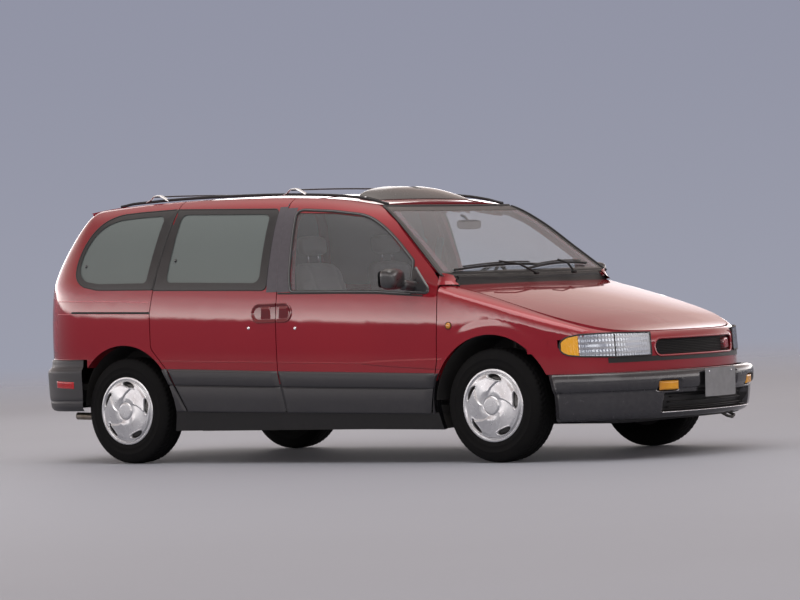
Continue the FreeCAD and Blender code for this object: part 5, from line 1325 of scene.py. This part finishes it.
def bakeDown(obj):  # the evaluated mesh takes the place of the mesh and its modifiers
    graph = bpy.context.evaluated_depsgraph_get()
    graph.update()
    mesh = bpy.data.meshes.new_from_object(obj.evaluated_get(graph))
    obj.modifiers.clear()
    old = obj.data
    obj.data = mesh
    bpy.data.meshes.remove(old)


# grooves pressed in along sewn lines: across at shares of the length, lengthways at offsets
def sewn(obj, corners, y0, y1, seams):
    co = np.array([v.co for v in obj.data.vertices]) + np.array([shiftX, 0, shiftZ])
    normals = np.array([v.normal for v in obj.data.vertices])
    c = np.array(corners, float)
    run = unit(c[1] + c[2] - c[0] - c[3])
    mid = c.mean(0)
    distance = (co[:, 0] - mid[0]) * run[0] + (co[:, 2] - mid[1]) * run[1]
    half = np.linalg.norm(c[1] + c[2] - c[0] - c[3]) / 4
    depth = np.zeros(len(co))
    for kind, at in seams:
        far = distance - at * half if kind == "across" else co[:, 1] - (y0 + y1) / 2 - at * (y1 - y0) / 2
        depth = np.maximum(depth, np.exp(-(far / .009) ** 2))
    co = co - normals * (depth * .009)[:, None] - np.array([shiftX, 0, shiftZ])
    obj.data.vertices.foreach_set("co", co.astype(np.float32).ravel())
    obj.data.update()


for side, s in (("Right", -1), ("Left", 1)):
    y = s * seat["y"]
    superBox("seatBase" + side, (.04, y, .485), (.42, .38, .23), 6.0, mats["dash_plastic"], "body", 16)
    cushion = pillow("seatCushion" + side, [(-.205, .600), (.298, .612), (.305, .716), (-.165, .690)],
                     y - .236, y + .236,
                     [("long", -.56), ("long", .56), ("across", .35)], seat["voxel"])
    pillow("seatBack" + side, [(-.185, .690), (-.355, 1.235), (-.250, 1.235), (-.085, .715)], y - .228,
           y + .228,
           [("long", -.55), ("long", .55), ("across", -.35), ("across", .45)], seat["voxel"])
    pillow("headrest" + side, [(-.345, 1.272), (-.352, 1.388), (-.278, 1.388), (-.262, 1.272)], y - .118,
           y + .118, [], .010)
    for dy in (-.05, .05):
        tube("headrestPost%s%d" % (side, dy > 0), [(-.300, y + dy, 1.21), (-.306, y + dy, 1.30)], .006,
             mats["bright"], "body")
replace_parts(cushion, "front_seats")
for row, (x, z, half) in enumerate(((-.85, .37, .64), (-1.64, .54, .56))):
    superBox("rowBase%d" % row, (x + .04, 0, z + .075), (.30, 2 * half - .2, .14), 6.0,
             mats["dash_plastic"], "body", 16)
    for k, (a, b) in enumerate(((-half, -.01), (.01, half))):
        cushion = pillow("rowCushion%d_%d" % (row, k),
                         [(x - .175, z + .145), (x + .245, z + .145), (x + .252, z + .262),
                          (x - .135, z + .228)],
                         a + .012, b - .012, [("long", 0), ("across", .3)], seat["wideVoxel"])
        pillow("rowBack%d_%d" % (row, k), [(x - .185, z + .235), (x - .285, z + .762), (x - .197, z + .762),
                                           (x - .085, z + .26)],
               a + .012, b - .012, [("long", 0), ("across", .4)], seat["wideVoxel"])
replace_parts(cushion, "rear_seats")
print("seats")

# belts and small cabin pieces
for side, s in (("Right", -1), ("Left", 1)):
    path = np.array([(-.150, s * .752, 1.33), (-.175, s * .742, 1.20), (-.205, s * .70, 1.00),
                     (-.215, s * .675, .80), (-.21, s * .67, .62)])
    path = resample(path, .02, False)
    sweep("belt" + side, path, (.25, s * -1.0, .1), roundSection(.046, .002, 4.0), mats["belt"], "body",
          closed=False)
    superBox("beltGuide" + side, (-.150, s * .756, 1.335), (.05, .02, .07), 3.0, mats["dash_plastic"],
             "body", 12)
superBox("clusterHood", (.700, .38, 1.030), (.16, .38, .05), 3.0, mats["dash_plastic"], "body", 18)
print("cabin")

# patches that close the corners at the cowl and beside the lamps, the exhaust, the cowl cover and the trays
for side, sign in sides:
    s, t = evenGrid((0, 1, 14), (0, 1, 14))
    a, b, c, d = np.array([(1.034, -.897, 1.050), (1.044, -.876, 1.122), (1.074, -.785, 1.106),
                           (1.130, -.812, 1.049)])
    s, t = s[..., None], t[..., None]
    p = (a * (1 - s) + d * s) * (1 - t) + (b * (1 - s) + c * s) * t
    p = p + np.array([.3, -.5, .8]) * .004 * np.sin(s * math.pi)
    sidePatch("cowlCorner" + side.title(), p, mats["body_paint"], "body", sign)
    u, v = evenGrid((-.914, -.868, 12), (.630, .712, 8))
    sidePatch("lampFiller" + side.title(), np.stack([noseX(u, v, .0006), u, v], -1), mats["body_paint"],
              "body", sign)
pipe = tube("tailpipe", resample(np.array([(-1.10, -.60, .262), (-1.60, -.62, .275), (-1.90, -.64, .292),
                                           (-2.095, -.65, .298)]), .03, False),
            .024, mats["exhaust_steel"], "body", sides=18)
tube("exhaustPipe", [(1.0, .10, .26), (.3, .05, .24), (-.4, -.25, .24), (-.62, -.45, .25)], .022,
     mats["exhaust_steel"], "body", sides=14)
superBox("silencer", (-.86, -.52, .265), (.52, .26, .13), 4.0, mats["exhaust_steel"], "body", 18)
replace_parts(pipe, "exhaust")
y, t = evenGrid((-.79, .79, 80), (0, 1, 8))
top = shieldPoint(1.116 + 0 * y, y / .80) + np.array([.004, 0, .004])
low = np.stack([1.162 - .06 * (y / .8) ** 2, y, 1.043 - .020 * (y / .8) ** 2], -1)
t = t[..., None]
addMesh("cowlCover", low * (1 - t) + top * t + np.array([.3, 0, -.8]) * .010 * np.sin(t * math.pi),
        gridFaces(80, 8), mats["black_trim"], "body")
superBox("engineTray", (1.50, 0, .222), (.95, .94, .05), 5.0, mats["black_trim"], "body", 16)
superBox("frontTray", (1.99, 0, .232), (.34, 1.42, .05), 5.0, mats["black_trim"], "body", 16)
print("fillers")


studio = {"backdrop": (.285, .295, .375), "floor": (.235, .247, .285), "lens": 154.94,
          "camera": (13.122, -17.237, 1.015),
          "yaw": 2.2187, "pitch": -0.0021, "roll": -0.0401, "softbox": 330.0, "fill": 95.0, "panel": 5.4,
          "rear": 6.4}


def buildStudio():
    world = bpy.data.worlds.new("studioWorld")
    bpy.context.scene.world = world
    world.use_nodes = True
    tree = world.node_tree
    back = tree.nodes["Background"]
    aim = nodeOf(tree, "SeparateXYZ", {0: nodeOf(tree, "TexCoord").outputs["Generated"]})
    height = aim.outputs[2]
    span = nodeOf(tree, "MapRange", {0: height, 1: -0.2, 2: 1.0, 3: 0.0, 4: 1.0})
    ramp = nodeOf(tree, "ValToRGB", {0: span.outputs[0]})
    stops = [(0.0, (.05, .05, .055)), (.160, (.03, .03, .036)), (.222, (.035, .035, .042)),
             (.2310, (.95, .91, .88)),
             (.270, (.50, .46, .46)), (.32, (.26, .24, .245)), (.40, (.15, .125, .115)),
             (.55, (.08, .065, .06)),
             (.68, (.09, .08, .075)), (.82, (.18, .16, .15)), (1.0, (.30, .27, .25))]
    while len(ramp.color_ramp.elements) < len(stops):
        ramp.color_ramp.elements.new(0.5)
    for made, (at, color) in zip(ramp.color_ramp.elements, stops):
        made.position = at
        made.color = (*color, 1)
    near = nodeOf(tree, "MapRange", {0: aim.outputs[1], 1: -0.5, 2: 0.1, 3: studio["panel"],
                                     4: studio["rear"]})
    bright = nodeOf(tree, "VectorMath", {0: ramp.outputs[0], 3: near.outputs[0]}, operation="SCALE")
    path = nodeOf(tree, "LightPath")
    seen = mathNode(tree, "MAXIMUM", path.outputs["Is Camera Ray"], path.outputs["Is Transmission Ray"])
    wall = mixColors(tree, stepNode(tree, height, -0.05, 0.10), (.335, .345, .415, 1),
                     (*studio["backdrop"], 1))
    mixed = mixColors(tree, seen, bright.outputs[0], wall)
    tree.links.new(mixed, back.inputs["Color"])

    t = np.linspace(0, 2 * math.pi, 96, endpoint=False)
    r = np.concatenate([np.linspace(0.5, 12, 20), np.linspace(14, 60, 14)])
    ring = np.stack([r[None] * np.cos(t)[:, None], r[None] * np.sin(t)[:, None], 0 * t[:, None] * r[None]],
                    -1)
    verts = np.concatenate([[[0, 0, 0]], ring.reshape(-1, 3)]) + np.array([shiftX, 0, shiftZ - 0.001])
    fans = [[0, 1 + k * len(r), 1 + ((k + 1) % 96) * len(r)] for k in range(96)]
    faces = fans + [list(f) for f in gridFaces(96, len(r), closeU=True, start=1, flip=True)]
    mat, tree, shader = newMaterial("studioFloor")
    place = nodeOf(tree, "TexCoord").outputs["Object"]
    far = nodeOf(tree, "VectorMath", {0: place}, operation="LENGTH").outputs["Value"]
    cloud = nodeOf(tree, "TexNoise", {"Vector": place, "Scale": 0.6, "Detail": 3.0})
    tree.links.new(mixColors(tree, cloud.outputs[0], (*studio["floor"], 1),
                             (*(c * 0.95 for c in studio["floor"]), 1)), shader.inputs["Base Color"])
    shader.inputs["Roughness"].default_value = 0.75
    fade = nodeOf(tree, "MapRange", {0: far, 1: 7.0, 2: 40.0, 3: 1.0, 4: 0.0},
                  interpolation_type="SMOOTHSTEP")
    tree.links.new(fade.outputs[0], shader.inputs["Alpha"])
    floor = addMesh("studioFloor", verts, faces, mat)
    for name, place, size, power, aim in (("topBox", (1.5, -3.5, 7.5), (9, 5), studio["softbox"], (0, 0, .6)),
                                          ("sideFill", (10, -9, 4.0), (6, 4), studio["fill"], (0, 0, .8)),
                                          ("backFill", (-8, 7, 5.0), (6, 4), studio["fill"], (0, 0, .8))):
        light = bpy.data.lights.new(name, "AREA")
        light.shape = "RECTANGLE"
        light.size, light.size_y = size
        light.energy = power
        lamp = bpy.data.objects.new(name, light)
        lamp.location = place
        aimed = mathutils.Vector(aim) - mathutils.Vector(place)
        lamp.rotation_euler = aimed.to_track_quat("-Z", "Y").to_euler()
        bpy.context.scene.collection.objects.link(lamp)
    data = bpy.data.cameras.new("photoCamera")
    data.lens = studio["lens"]
    data.sensor_width = 36.0
    data.clip_end = 200.0
    camera = bpy.data.objects.new("photoCamera", data)
    yaw, pitch, roll = studio["yaw"], studio["pitch"], studio["roll"]
    look = np.array([math.cos(pitch) * math.cos(yaw), math.cos(pitch) * math.sin(yaw), math.sin(pitch)])
    right = unit(np.cross(look, [0, 0, 1]))
    up = np.cross(right, look)
    right2 = right * math.cos(roll) + up * math.sin(roll)
    up2 = -right * math.sin(roll) + up * math.cos(roll)
    turn = mathutils.Matrix([[right2[k], up2[k], -look[k]] for k in range(3)]).to_4x4()
    place = np.array(studio["camera"]) - np.array([shiftX, 0, shiftZ])
    camera.matrix_world = mathutils.Matrix.Translation(place) @ turn
    bpy.context.scene.collection.objects.link(camera)
    bpy.context.scene.camera = camera


buildStudio()
print("studio")
bpy.context.scene.view_settings.view_transform = "Standard"
